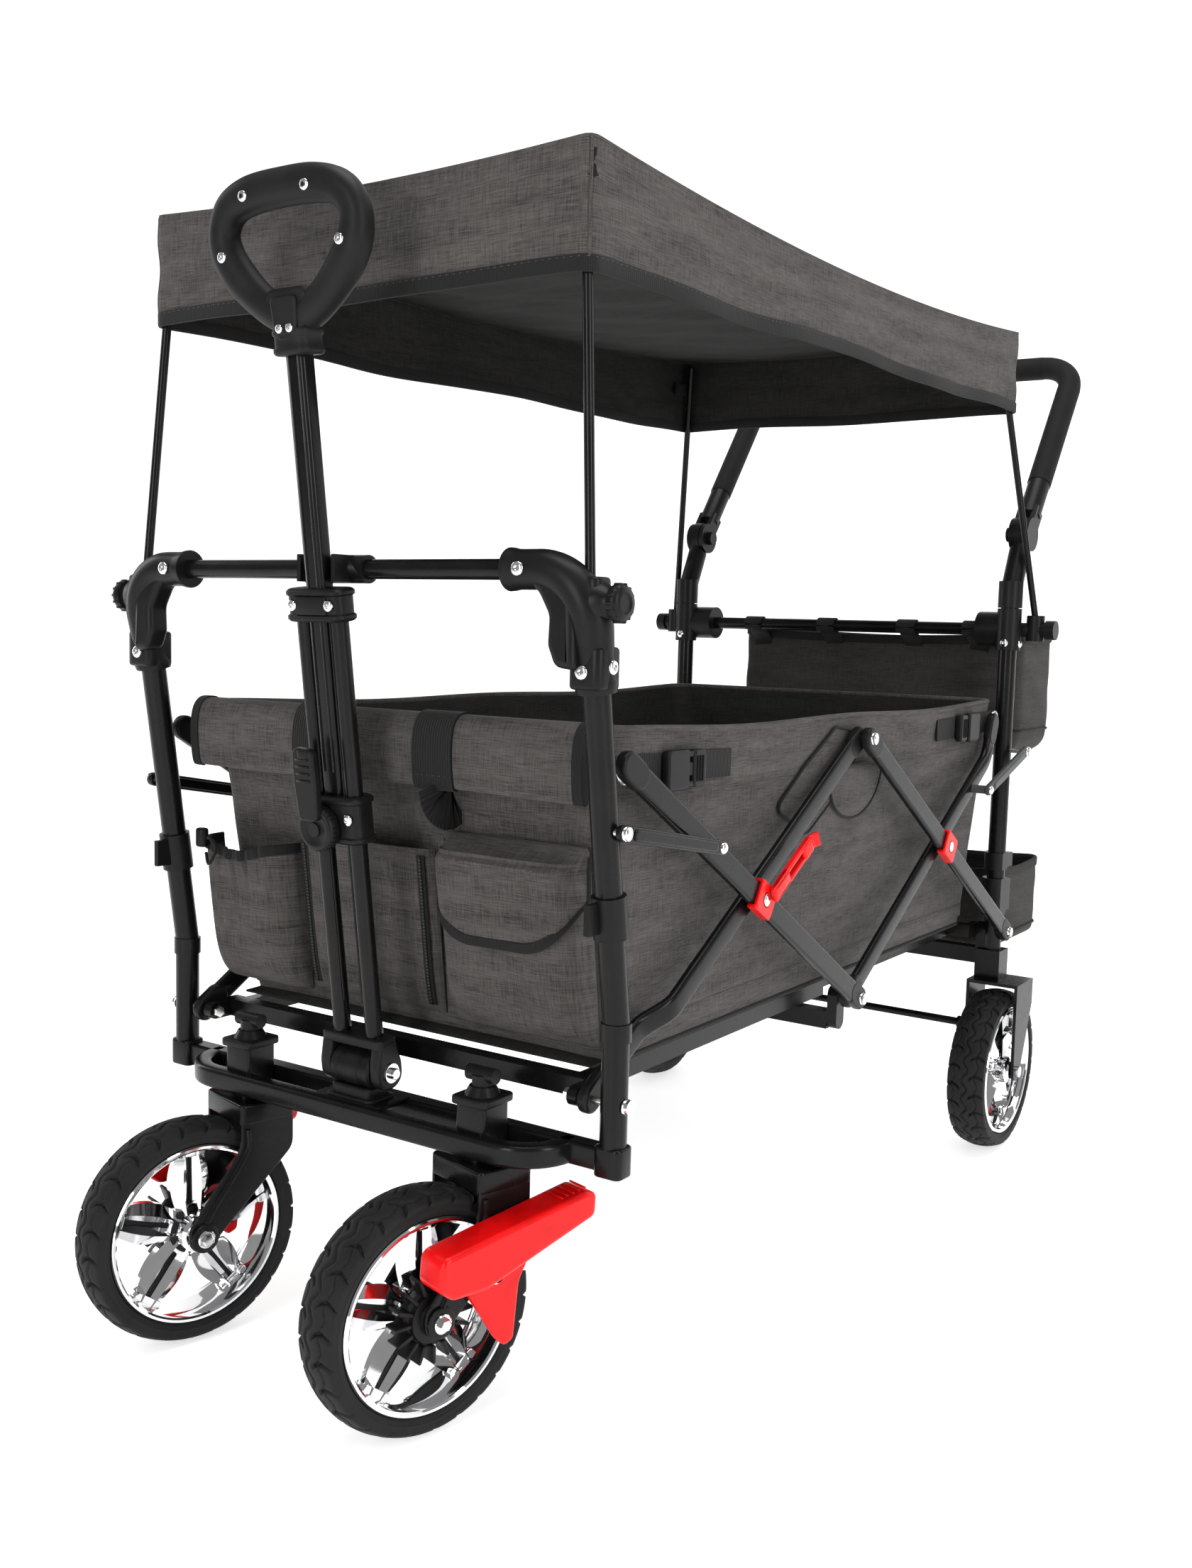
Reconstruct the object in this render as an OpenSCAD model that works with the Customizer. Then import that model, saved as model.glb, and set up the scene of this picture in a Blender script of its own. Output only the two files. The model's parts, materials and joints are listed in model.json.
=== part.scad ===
// Folding pull wagon with a sun roof.
// X is the width, +Y points to the rear, +Z is up, and the ground is z = 0.
// Inside the modules, y = 0 is the front fold pivot. stand() then centres the whole wagon on the origin.

/* [Scissor frame] */
// Distance between the front and the rear fold pivots when the wagon is open
span = 900; // [840:1:1090]
// Height of the fold pivots above the ground
pivot_z = 272; // [262:1:330]
// Rise of the upper middle pivot above the fold pivots when open
rise = 268; // [224:1:324]
// Steepest angle that a scissor bar reaches when the wagon is folded
folded_angle = 71; // [66:1:72]
// Height of a scissor bar's flat-oval section
bar_h = 22; // [18:1:26]
// Thickness of a scissor bar
bar_t = 9; // [7.5:0.5:10]
// Middle plane of the inner scissor bars, from the wagon's centre
inner_x = 240; // [236:1:242]
// Middle plane of the outer scissor bars, from the wagon's centre
outer_x = 251.5; // [250.5:0.5:256]
// Middle plane of the lower end of the front inner bar, beside the post
foot_x = 223.5; // [222:0.5:224]
// Radius of the scissor rivets
rivet_r = 3; // [2.5:0.1:3.6]
// Length along the outer bar from its upper end to the stay's pivot
stay_reach = 148; // [124:1:160]
// Length by which the rear inner bar's bent end is set back from the full bar
horn_back = 84; // [70:1:95]
// Length of the rear inner bar's bent end
horn_len = 46; // [38:1:54]
// Direction of the bent end, from level
horn_angle = 70; // [60:1:80]

/* [Posts] */
// Front post axis, from the wagon's centre
front_x = 247.5; // [245:0.5:250]
// Rear post axis, from the wagon's centre
rear_x = 235; // [230:0.5:236]
// Outside radius of the posts
post_r = 11; // [9.2:0.1:11.5]
// Wall of the posts
post_wall = 1.5; // [1:0.1:2]
// Lower end of the front posts
front_foot_z = 216; // [214:1:218]
// Height at which the front posts start to lean
kink_z = 335; // [320:1:350]
// Lean of the front posts towards the front
front_lean = 8.5; // [7:0.5:9.5]
// Height of the upper front crossbar
front_bar_z = 687; // [640:1:760]
// Height of the upper rear crossbar
rear_bar_z = 655; // [600:1:760]
// Radius of the upper crossbars
cross_r = 8; // [7:0.5:9]

/* [Wheels] */
// Radius of the wheels
wheel_r = 100; // [96:1:101]
// Width of the tyres
tyre_w = 46; // [38:1:50]
// Radius where the tyre sits on the rim
rim_r = 80; // [72:1:84]
// Radius of the axle bolts
axle_r = 4; // [3.2:0.1:5]
// Clear space between the two legs of a fork
fork_gap = 58; // [54:1:64]
// Thickness of a fork leg
leg_t = 4; // [3:0.5:5]
// Distance from the swivel axis to the caster's axle
trail = 62; // [56:1:70]
// Sideways place of the swivel axes
swivel_x = 135; // [128:1:140]
// Rest angle of both casters
caster_turn = 15; // [0:0.1:20]
// Middle of the rear wheels, from the wagon's centre
rear_wheel_x = 250; // [248:1:254]
// How far the rear axle stands in front of the rear posts
rear_axle_lead = 22; // [15:1:26]

/* [Pull bar] */
// Distance between the two lower tubes of the pull bar
pull_gap = 37; // [36:0.5:42]
// Radius of the lower tubes
pull_r = 7.5; // [6.5:0.5:7.5]
// Lean of the pull bar towards the front when it rests on the crossbar
pull_lean = 7.6; // [7.6:0.1:9]
// Length of the lower tubes
pull_len = 400; // [380:1:420]
// Width of the sliding inner tube
slide_w = 20; // [17:1:20]
// How far below the upper collar the slider stands at rest
slider_drop = 166; // [150:1:175]
// Distance from the upper collar to the neck of the grip
neck_rise = 211; // [190:1:250]
// Outside width of the grip
grip_w = 166; // [150:1:180]
// Outside height of the grip
grip_h = 122; // [115:1:145]

/* [Push handle] */
// Height of the push handle's hinges
hinge_z = 775; // [740:1:800]
// Lean of the push handle towards the rear
push_lean = 37; // [30:1:42]
// Length of a push handle leg from its hinge to the top bend
push_len = 295; // [240:1:340]
// Radius of the push handle's foam
foam_r = 15; // [13:0.5:16]

/* [Fabric] */
// Half width of the basket at its rim
basket_top_x = 231; // [220:1:231]
// Half width of the basket at its floor
basket_low_x = 211; // [195:1:211]
// Height of the basket's underside
basket_z = 285; // [283:1:330]
// Height of the basket's rim
basket_rim_z = 564; // [480:1:580]
// Thickness of the basket's fabric walls
cloth_t = 4; // [3:0.5:6]
// Half width of the roof
roof_x = 237; // [225:1:243]
// How much longer the roof is than the distance between the posts
roof_more = 30; // [-20:1:40]
// Height of the roof's hanging border
roof_drop = 96; // [80:1:115]
// Height of the border's lower edge at the front
roof_z = 902; // [860:1:1040]
// Climb of the roof from front to rear
roof_tilt = 1; // [0:0.1:2]
// Radius of the roof's poles
pole_r = 4; // [3:0.5:5]

/* [Fits] */
// Radial clearance of a pin or shaft that turns in its hole
run = 0.05; // [0.02:0.01:0.1]
// Clearance between fixed pieces that slip over each other
slip = 0.1; // [0.05:0.05:0.2]
// Least space between faces that move past each other
pass = 0.5; // [0.3:0.1:1]

/* [Hidden] */
$fn = 64;

half = span / 2;
bar_len = sqrt(half * half + rise * rise);
open_angle = atan2(rise, half);
fold = folded_angle - open_angle;
rear_pivot = [span, pivot_z];
mid_top = [half, pivot_z + rise];
mid_low = [half, pivot_z];
front_cross = [half / 2, pivot_z + rise / 2];
rear_cross = [half * 1.5, pivot_z + rise / 2];
bar_end = bar_h / 2;
head_t = 3;
head_r = 6;
outer_face = outer_x + bar_t / 2;

// the front posts
post_top_z = front_bar_z - 42;
function post_y(z) = z < kink_z ? 0 : -(z - kink_z) * tan(front_lean);
front_bar_y = post_y(front_bar_z) - 3;

// wheels and casters
tyre_crown = 6;
crown_r = (tyre_w * tyre_w / 4 + tyre_crown * tyre_crown) / (2 * tyre_crown);
rail_top = 236;
rail_low = 217;
swivel_y = -24;
fork_top = 212;
hub_w = fork_gap - 2;
rear_axle_y = span - rear_axle_lead;

// the pull bar, in its own frame: z runs along the bar from its pivot
pull_pivot = [-22, 262];
yoke_top = 24;
collar_low = pull_len - slider_drop;
slide_d = 15;
neck_z = pull_len + neck_rise;
grip_d = 26;

// the rear upper group
hub_y = span + 12;
sleeve_z = rear_bar_z + 26;
hinge_y = span + 35;
push_top = [hinge_y + sin(push_lean) * push_len, hinge_z + cos(push_lean) * push_len];

// the whole length, so that stand() can centre it
front_end = swivel_y - (trail + wheel_r - crown_r) * cos(caster_turn) - crown_r;
rear_end = push_top[0] + foam_r;
function middle() = (front_end + rear_end) / 2;

module stand() translate([0, -middle(), 0]) children();

module both() {
    children();
    mirror([1, 0, 0]) children();
}

// lays a shape built along +Z from the point p towards the point q
module along(p, q) {
    d = q - p;
    translate(p) rotate([0, acos(d[2] / norm(d)), atan2(d[1], d[0])]) children();
}

module rod(p, q, r, $fn = 64) along(p, q) cylinder(r = r, h = norm(q - p));

module pipe(p, q, r, wall) {
    difference() {
        rod(p, q, r);
        along(p, q) translate([0, 0, -1]) cylinder(r = r - wall, h = norm(q - p) + 2);
    }
}

// a pin along X at the point [y, z], from x0 to x1
module pin(at, x0, x1, r) translate([x0, at[0], at[1]]) rotate([0, 90, 0]) cylinder(r = r, h = x1 - x0);

// a plate whose outline is drawn with X along y and Y along z, from x0 to x1
module plate(x0, x1) {
    translate([x0, 0, 0]) rotate([90, 0, 90]) linear_extrude(x1 - x0) children();
}

// a box from one corner to the other
module block(a, b) translate(a) cube(b - a);

// the outline of a link between two points, with round ends
module link_shape(p, q, r) {
    d = q - p;
    translate(p) rotate(atan2(d[1], d[0])) {
        translate([0, -r]) square([norm(d), 2 * r]);
        circle(r);
        translate([norm(d), 0]) circle(r);
    }
}

// ---- front frame ----

// the leaning upper length of a front post, or the room that it takes
module upper_post(r, z0, z1) {
    rod([front_x, post_y_line(z0), z0], [front_x, post_y_line(z1), z1], r);
}

function post_y_line(z) = -(z - kink_z) * tan(front_lean);

// a post's tube: two straight lengths, with a short crimped sleeve over the kink
module front_posts() {
    crimp = 12;
    color("black") stand() both() difference() {
        union() {
            rod([front_x, 0, front_foot_z], [front_x, 0, kink_z], post_r);
            rod([front_x, 0, kink_z - crimp], [front_x, 0, kink_z + 3], post_r + 1.5);
            upper_post(post_r, kink_z - 1, post_top_z);
        }
        rod([front_x, 0, front_foot_z - 1], [front_x, 0, kink_z - crimp], post_r - post_wall);
        upper_post(post_r - post_wall, kink_z + crimp, post_top_z + 1);
        pin([0, pivot_z], front_x - post_r - 1, front_x + post_r + 1, rivet_r + slip);
        pin(stay_post, front_x, front_x + post_r + 1, rivet_r + slip);
    }
}

bow_y = -42;
rail_y = 2;
bow_arc = 54;
swivel_box_h = 48;
stem_r = 7;

module swivel_box(cut) {
    translate([swivel_x, swivel_y, rail_low]) {
        if (cut) translate([0, 0, -1]) cylinder(r = stem_r + run, h = swivel_box_h + 2);
        else translate([-15, -17, 0]) cube([30, 34, swivel_box_h]);
    }
}

module front_lower_frame() {
    color("black") stand() difference() {
        union() {
            block([-front_x, rail_y - 9, rail_low], [front_x, rail_y + 9, rail_top]);
            block([-150, bow_y - 8, rail_low], [150, bow_y + 8, rail_top]);
            both() translate([150, bow_y + bow_arc, rail_low])
                    linear_extrude(rail_top - rail_low) intersection() {
                difference() {
                    circle(bow_arc + 8);
                    circle(bow_arc - 8);
                }
                polygon([[0, 0], [0, -90], [90, -90], [90, -12]]);
            }
            both() swivel_box(false);
            block([-38, bow_y, rail_low], [38, rail_y, rail_top]);
        }
        both() rod([front_x, 0, 200], [front_x, 0, 260], post_r);
        both() swivel_box(true);
    }
}

elbow_r = 13;

module front_elbows() {
    sleeve_r = post_r + 4;
    foot = post_top_z - 48;
    turn = 34;
    corner = front_x - turn;
    knob = [post_y(front_bar_z - 24), front_bar_z - 24];
    color("dimgray") stand() both() difference() {
        union() {
            rod([front_x, post_y(foot), foot], [front_x, post_y(post_top_z + 6), post_top_z + 6], sleeve_r);
            // flat elbow body, cut from a plate
            translate([0, front_bar_y + elbow_r - 1, 0]) rotate([90, 0, 0]) linear_extrude(2 * elbow_r - 2) {
                translate([corner, front_bar_z - turn]) intersection() {
                    difference() {
                        circle(turn + elbow_r);
                        circle(turn - elbow_r);
                    }
                    square(100);
                }
                translate([front_x - elbow_r, foot + 30])
                    square([2 * elbow_r, front_bar_z - turn - foot - 29]);
            }
            rod([corner - 34, front_bar_y, front_bar_z], [corner + 1, front_bar_y, front_bar_z], elbow_r);
            // knob boss that stands out sideways and takes the roof pole
            pin(knob, front_x, front_x + 16, 11);
            pin(knob, front_x + 16, front_x + 29, 13);
            // web in the corner
            translate([corner, front_bar_y - 2, front_bar_z - turn]) cube([turn - 14, 4, turn - 10]);
        }
        upper_post(post_r + slip, foot - 10, post_top_z);
        rod([-corner - 60, front_bar_y, front_bar_z], [corner - 6, front_bar_y, front_bar_z], cross_r + slip);
        pole_line("front", pole_r + slip);
    }
}

module front_crossbar() {
    reach = front_x - 42;
    color("black") stand()
        rod([-reach, front_bar_y, front_bar_z], [reach, front_bar_y, front_bar_z], cross_r);
}

// holder on the crossbar that the pull bar rests in
module pull_clip() {
    difference() {
        union() {
            rod([-34, front_bar_y, front_bar_z], [34, front_bar_y, front_bar_z], cross_r + 3.5);
            both() block([17, front_bar_y - 26, front_bar_z - 11], [21, front_bar_y, front_bar_z + 11]);
        }
        rod([-60, front_bar_y, front_bar_z], [60, front_bar_y, front_bar_z], cross_r + slip);
        block([-16, front_bar_y - 40, front_bar_z - 30], [16, front_bar_y - cross_r - 0.8, front_bar_z + 30]);
    }
}

module front_clamps() {
    color("dimgray") stand() {
        pull_clip();
        front_post_clips();
    }
}

module front_post_clips() {
    z = 424;
    both() difference() {
        translate([front_x, post_y(z), z]) union() {
            rotate([front_lean, 0, 0]) translate([0, 0, -17]) cylinder(r = post_r + 3, h = 34);
            translate([-6, -post_r - 16, -12]) cube([5, 18, 24]);
        }
        upper_post(post_r + slip, z - 40, z + 40);
    }
}

module front_pivot_bolts() {
    inside = foot_x - bar_t / 2 - 14;
    color("silver") stand() both() {
        pin([0, pivot_z], inside, front_x + post_r + 1, rivet_r);
        pin([0, pivot_z], front_x + post_r + 1, front_x + post_r + 4.5, 6);
        translate([inside - 3.5, 0, pivot_z]) rotate([0, 90, 0]) cylinder(r = 5.5, h = 3.5, $fn = 6);
        stay_pin(stay_post, front_x + post_r - post_wall);
    }
}

// the pin that carries a stay on its post
module stay_pin(at, x0) {
    pin(at, x0, stay_x1 + pass, rivet_r);
    pin(at, stay_x1 + pass, stay_x1 + pass + 2.5, 5.5);
}

// the roof is level across and climbs to the rear by roof_tilt
function roof_edge_z(y) = roof_z + (y - roof_front) * tan(roof_tilt);
roof_front = -46;
roof_len = span + roof_more;

function pole_foot(end) = end == "front" ? [front_x - 1, post_y(front_bar_z - 24), front_bar_z - 22]
    : [rear_x + 28, hub_y + 5, rear_bar_z + 11];
function pole_head(end) = end == "front" ? [roof_x - 14, roof_front + 12, roof_z + roof_drop - 12]
    : [roof_x - 19, roof_front + roof_len - 21, roof_edge_z(roof_front + roof_len) + roof_drop - 12];

module pole_line(end, r) {
    along(pole_foot(end), pole_head(end)) cylinder(r = r, h = norm(pole_head(end) - pole_foot(end)));
}

module front_poles() {
    color("black") stand() both() pole_line("front", pole_r);
}

module rear_poles() {
    color("black") stand() both() pole_line("rear", pole_r);
}

module pull_pivot_base() {
    p = pull_pivot;
    color("dimgray") stand() difference() {
        union() {
            pin(p, -22, 22, 17);
            block([-22, p[0] - 14, rail_top], [22, p[0] + 12, p[1] - 8]);
        }
        pin(p, -60, 60, 5 + run);
    }
}

module swivel_knob() {
    translate([swivel_x, swivel_y, rail_low + swivel_box_h]) {
        cylinder(r1 = 15, r2 = 11, h = 7);
        translate([0, 0, 7]) cylinder(r = 9, h = 9);
        translate([-14, 0, 16]) rotate([0, 90, 0]) cylinder(r = 6.5, h = 28);
    }
}

module swivel_pin_left() {
    color("dimgray") stand() mirror([1, 0, 0]) swivel_knob();
}

module swivel_pin_right() {
    color("dimgray") stand() swivel_knob();
}

// ---- scissor bars ----

module bar_between(p, q, x) {
    difference() {
        plate(x - bar_t / 2, x + bar_t / 2) link_shape(p, q, bar_end);
        pin(p, x - bar_t, x + bar_t, rivet_r + run);
        pin(q, x - bar_t, x + bar_t, rivet_r + run);
        pin((p + q) / 2, x - bar_t, x + bar_t, rivet_r + run);
    }
}

// where the front inner bar steps sideways to pass inside the post
step_start = 78;
step_end = 118;

module scissor_front_inner() {
    color("black") stand() both() difference() {
        translate([0, 0, pivot_z]) rotate([open_angle, 0, 0]) {
            translate([foot_x - bar_t / 2, 0, 0]) rotate([90, 0, 90]) linear_extrude(bar_t)
                link_shape([0, 0], [step_start + 4, 0], bar_end);
            translate([0, 0, -bar_end]) linear_extrude(bar_h) polygon([
                [foot_x - bar_t / 2, step_start], [foot_x + bar_t / 2, step_start],
                [inner_x + bar_t / 2, step_end], [inner_x - bar_t / 2, step_end]
            ]);
            translate([inner_x - bar_t / 2, 0, 0]) rotate([90, 0, 90]) linear_extrude(bar_t) difference() {
                link_shape([0, 0], [bar_len, 0], bar_end);
                translate([-50, -50]) square([50 + step_end - 1, 100]);
            }
        }
        pin([0, pivot_z], foot_x - bar_t, foot_x + bar_t, rivet_r + run);
        pin(front_cross, inner_x - bar_t, inner_x + bar_t, rivet_r + slip);
        pin(mid_top, inner_x - bar_t, inner_x + bar_t, rivet_r + slip);
    }
}

module scissor_front_outer() {
    color("black") stand() both() bar_between([0, mid_top[1]], mid_low, outer_x);
}

module scissor_rear_outer() {
    color("black") stand() both() bar_between(mid_top, rear_pivot, outer_x);
}

// the bent upper end: the bar turns upwards at the knee
horn_knee = mid_low + (bar_len - horn_back) * [cos(open_angle), sin(open_angle)];
horn_tip = horn_knee + horn_len * [cos(horn_angle), sin(horn_angle)];

module scissor_rear_inner() {
    color("black") stand() both() difference() {
        plate(inner_x - bar_t / 2, inner_x + bar_t / 2) {
            link_shape(mid_low, horn_knee, bar_end);
            link_shape(horn_knee, horn_tip, bar_end);
        }
        pin(mid_low, inner_x - bar_t, inner_x + bar_t, rivet_r + slip);
        pin(rear_cross, inner_x - bar_t, inner_x + bar_t, rivet_r + slip);
    }
}

// a rivet through both bar planes; its shank is fixed in the inner bar
module rivet(at, x0 = inner_x - bar_t / 2, x1 = outer_face) {
    pin(at, x0, x1 + pass, rivet_r);
    pin(at, x1 + pass, x1 + pass + head_t, head_r);
}

module rivets_front() {
    color("silver") stand() both() {
        rivet(front_cross);
        rivet(mid_top);
    }
}

module rivets_middle() {
    color("silver") stand() both() {
        rivet(mid_low, inner_x - bar_t / 2 - 14);
        rivet(rear_cross);
    }
}

module rivets_rear() {
    color("silver") stand() both() rivet(rear_pivot, rear_x + post_r - 6);
}

clip_r = bar_end + 3;

// a red saddle that hugs the outer bar where two bars cross
module saddle(at, angle) {
    translate([0, at[0], at[1]]) rotate([angle, 0, 0]) difference() {
        translate([outer_x - 2.5, -16, -clip_r]) cube([bar_t / 2 + 5.5, 32, 2 * clip_r]);
        translate([outer_x - 20, -30, -bar_end]) cube([20 + bar_t / 2, 60, bar_h]);
        rotate([0, 90, 0]) cylinder(r = head_r + pass, h = 400);
    }
}

module front_clips() {
    color("red") stand() both() saddle(front_cross, -open_angle);
}

module rear_clips() {
    color("red") stand() both() saddle(rear_cross, -open_angle);
}

latch_x = outer_face + 3.6;
latch_y = 9;

module latch_lever() {
    translate([0, front_cross[0], front_cross[1]]) rotate([open_angle, 0, 0]) {
        difference() {
            translate([0, 0, -7]) linear_extrude(14) {
                translate([latch_x, latch_y]) square([6, 78]);
                translate([latch_x + 3, latch_y]) circle(3);
            }
            translate([latch_x - 1, latch_y + 30, -3]) cube([8, 32, 6]);
        }
    }
}

module latch_lever_left() {
    color("red") stand() mirror([1, 0, 0]) latch_lever();
}

module latch_lever_right() {
    color("red") stand() latch_lever();
}

// the transverse tube under the floor, held by an eye at each side
module mid_crossbar() {
    eye_x = inner_x - bar_t / 2 - 3;
    color("black") stand() difference() {
        union() {
            block([-eye_x + 11, half - 9, pivot_z - 36], [eye_x - 11, half + 9, pivot_z - 18]);
            both() plate(eye_x - 11, eye_x) {
                link_shape(mid_low, mid_low - [0, 27], 9);
            }
        }
        both() pin(mid_low, 100, 300, rivet_r + slip);
    }
}

// ---- stays between the posts and the bars ----

stay_x0 = outer_face + pass + head_t + 2;
stay_x1 = stay_x0 + 6;
stay_open = [stay_reach * cos(open_angle), mid_top[1] - stay_reach * sin(open_angle)];
folded_top = pivot_z + bar_len * sin(folded_angle);
stay_shut = [stay_reach * cos(folded_angle), folded_top - stay_reach * sin(folded_angle)];
// the stay's pivot on the post lies as far from the open as from the folded bar pivot
function even_z(y) = (stay_open[1] + stay_shut[1]) / 2
    - (y - (stay_open[0] + stay_shut[0]) / 2) * (stay_shut[0] - stay_open[0]) / (stay_shut[1] - stay_open[1]);
stay_post_y = post_y(500);
stay_post = [stay_post_y, even_z(stay_post_y)];

module stay(a, b, bar_side_x) {
    difference() {
        union() {
            plate(stay_x0, stay_x1) link_shape(a, b, 6);
            pin(b, bar_side_x + pass, stay_x0, 5);
        }
        pin(a, stay_x0 - 1, stay_x1 + 1, rivet_r + run);
    }
}

module front_stays() {
    color("black") stand() both() stay(stay_post, stay_open, outer_face);
}

rear_stay_post = [span, even_z(0)];
rear_stay_bar = [span - stay_open[0], stay_open[1]];

module rear_stays() {
    color("black") stand() both() stay(rear_stay_post, rear_stay_bar, inner_x + bar_t / 2);
}

// ---- floor frame: two halves that rise together ----

floor_arm = 26;
floor_bar = 8;
rail_front_x = 197;
rail_rear_x = 182;
eye_in = foot_x - bar_t / 2 - 12;
eye_out = eye_in + 9;

module floor_half(rail_x, reach) {
    block([-eye_out, floor_arm - floor_bar, pivot_z - floor_bar],
        [eye_out, floor_arm + floor_bar, pivot_z + floor_bar]);
    both() {
        block([rail_x - 6, floor_arm, pivot_z - floor_bar], [rail_x + 6, reach, pivot_z + floor_bar]);
        difference() {
            plate(eye_in, eye_out) link_shape([0, pivot_z], [floor_arm, pivot_z], floor_bar);
            pin([0, pivot_z], eye_in - 1, eye_out + 1, rivet_r + run);
        }
    }
}

module floor_frame_front() {
    color("black") stand() {
        floor_half(rail_front_x, half + 20);
        both() block([rail_front_x - 9, half - 22, pivot_z - floor_bar],
            [rail_front_x - 6, half + 20, pivot_z + floor_bar]);
    }
}

module floor_frame_rear() {
    color("black") stand() translate([0, span, 0]) mirror([0, 1, 0]) floor_half(rail_rear_x, half + 20);
}

// ---- casters and wheels ----

// places a caster: side is 1 on the right and -1 on the left; local -y is the rolling direction
module caster(side) {
    translate([side * swivel_x, swivel_y, 0]) rotate([0, 0, -caster_turn]) mirror([side < 0 ? 1 : 0, 0, 0])
        children();
}

module leg_shape(top_half, top_y, top_low, axle_y, boss) {
    polygon([[top_y - top_half, fork_top], [top_y - top_half, top_low], [axle_y - boss, wheel_r],
        [axle_y + boss, wheel_r], [top_y + top_half, top_low], [top_y + top_half, fork_top]]);
    translate([axle_y, wheel_r]) circle(boss);
}

module fork(top_half, top_y, top_low, axle_y) {
    inner = fork_gap / 2;
    difference() {
        union() {
            both() plate(inner, inner + leg_t) leg_shape(top_half, top_y, top_low, axle_y, 12);
            block([-inner, top_y - top_half, fork_top - leg_t], [inner, top_y + top_half, fork_top]);
        }
        pin([axle_y, wheel_r], -inner - leg_t - 1, inner + leg_t + 1, axle_r + slip);
    }
}

module caster_fork() {
    fork(24, 0, 176, -trail);
    translate([0, 0, fork_top]) cylinder(r = 16, h = rail_low - pass - fork_top);
    translate([0, 0, fork_top]) cylinder(r = stem_r, h = rail_low + swivel_box_h - 4 - fork_top);
    // ear and rivet that carry the pedal
    plate(fork_gap / 2, fork_gap / 2 + leg_t) link_shape([-34, pedal_pivot[1]], pedal_pivot, 8);
    pin(pedal_pivot, fork_gap / 2 + leg_t, pedal_x + 14, 4);
}

module caster_fork_left() {
    color("black") stand() caster(-1) caster_fork();
}

module caster_fork_right() {
    color("black") stand() caster(1) caster_fork();
}

pedal_pivot = [-15, 128];
pedal_x = fork_gap / 2 + leg_t + pass;

module caster_pedal() {
    difference() {
        union() {
            plate(pedal_x, pedal_x + 32) polygon([[-84, 140], [-80, 164], [60, 186], [70, 180], [68, 164],
                [20, 150], [-40, 132]]);
            plate(pedal_x, pedal_x + 7) union() {
                polygon([[-52, 134], [-8, 72], [2, 72], [8, 120], [30, 156], [-40, 150]]);
                translate([-3, 72]) circle(5);
            }
        }
        pin(pedal_pivot, pedal_x - 1, pedal_x + 40, 4 + run);
        block([pedal_x + 7, pedal_pivot[0] - 12, 90], [pedal_x + 40, pedal_pivot[0] + 12, 145]);
    }
}

module caster_pedal_left() {
    color("red") stand() caster(-1) caster_pedal();
}

module caster_pedal_right() {
    color("red") stand() caster(1) caster_pedal();
}

module front_wheel(side) {
    caster(side) translate([0, -trail, wheel_r]) children();
}

module rear_wheel(side) {
    mirror([side < 0 ? 1 : 0, 0, 0]) translate([rear_wheel_x, rear_axle_y, wheel_r]) children();
}

module tyre() {
    rotate([0, 90, 0]) rotate_extrude() intersection() {
        translate([rim_r, -tyre_w / 2]) square([wheel_r - rim_r, tyre_w]);
        translate([wheel_r - crown_r, 0]) circle(crown_r);
    }
}

rim_wall = 5;

module rim() {
    wide = tyre_w - 4;
    rotate([0, 90, 0]) difference() {
        union() {
            rotate_extrude() translate([rim_r - rim_wall, -wide / 2]) square([rim_wall, wide]);
            translate([0, 0, -hub_w / 2]) cylinder(r = 15, h = hub_w);
            for (k = [0:4]) rotate([0, 0, k * 72 + 18]) for (s = [-1, 1]) rotate([0, 0, s * 9])
                translate([10, -4, -9]) cube([rim_r - rim_wall - 9, 8, 18]);
        }
        translate([0, 0, -hub_w]) cylinder(r = axle_r + run, h = 2 * hub_w);
    }
}

// the front wheels carry a toothed brake hub on their outer side
module brake_teeth() {
    rotate([0, 90, 0]) difference() {
        union() {
            translate([0, 0, 12]) cylinder(r = 24, h = hub_w / 2 - 12);
            for (k = [0:15]) rotate([0, 0, k * 22.5]) translate([20, -1.5, 14]) cube([16, 3, hub_w / 2 - 16]);
        }
        translate([0, 0, -1]) cylinder(r = 14.9, h = hub_w);
    }
}

module front_rim(side) {
    front_wheel(side) {
        rim();
        brake_teeth();
    }
}

module tyre_front_left() {
    color("black") stand() front_wheel(-1) tyre();
}

module tyre_front_right() {
    color("black") stand() front_wheel(1) tyre();
}

module tyre_rear_left() {
    color("black") stand() rear_wheel(-1) tyre();
}

module tyre_rear_right() {
    color("black") stand() rear_wheel(1) tyre();
}

module rim_front_left() {
    color("silver") stand() front_rim(-1);
}

module rim_front_right() {
    color("silver") stand() front_rim(1);
}

module rim_rear_left() {
    color("silver") stand() rear_wheel(-1) rim();
}

module rim_rear_right() {
    color("silver") stand() rear_wheel(1) rim();
}

module axle_bolt() {
    reach = fork_gap / 2 + leg_t;
    rotate([0, 90, 0]) {
        translate([0, 0, -reach]) cylinder(r = axle_r, h = 2 * reach);
        translate([0, 0, reach]) cylinder(r = 7, h = 4);
        translate([0, 0, -reach - 6]) cylinder(r = 7.5, h = 6, $fn = 6);
    }
}

module front_axle_bolts_left() {
    color("silver") stand() front_wheel(-1) axle_bolt();
}

module front_axle_bolts_right() {
    color("silver") stand() front_wheel(1) axle_bolt();
}

module rear_bolts() {
    color("silver") stand() {
        rear_wheel(1) axle_bolt();
        rear_wheel(-1) axle_bolt();
        both() stay_pin(rear_stay_post, rear_x + post_r - post_wall);
    }
}

// ---- rear frame ----

module rear_posts() {
    color("black") stand() both() difference() {
        pipe([rear_x, span, fork_top], [rear_x, span, sleeve_z + 30], post_r, post_wall);
        pin(rear_pivot, rear_x, rear_x + 20, rivet_r + slip);
        pin(rear_stay_post, rear_x, rear_x + 20, rivet_r + slip);
    }
}

rear_rail_z = 238;

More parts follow.
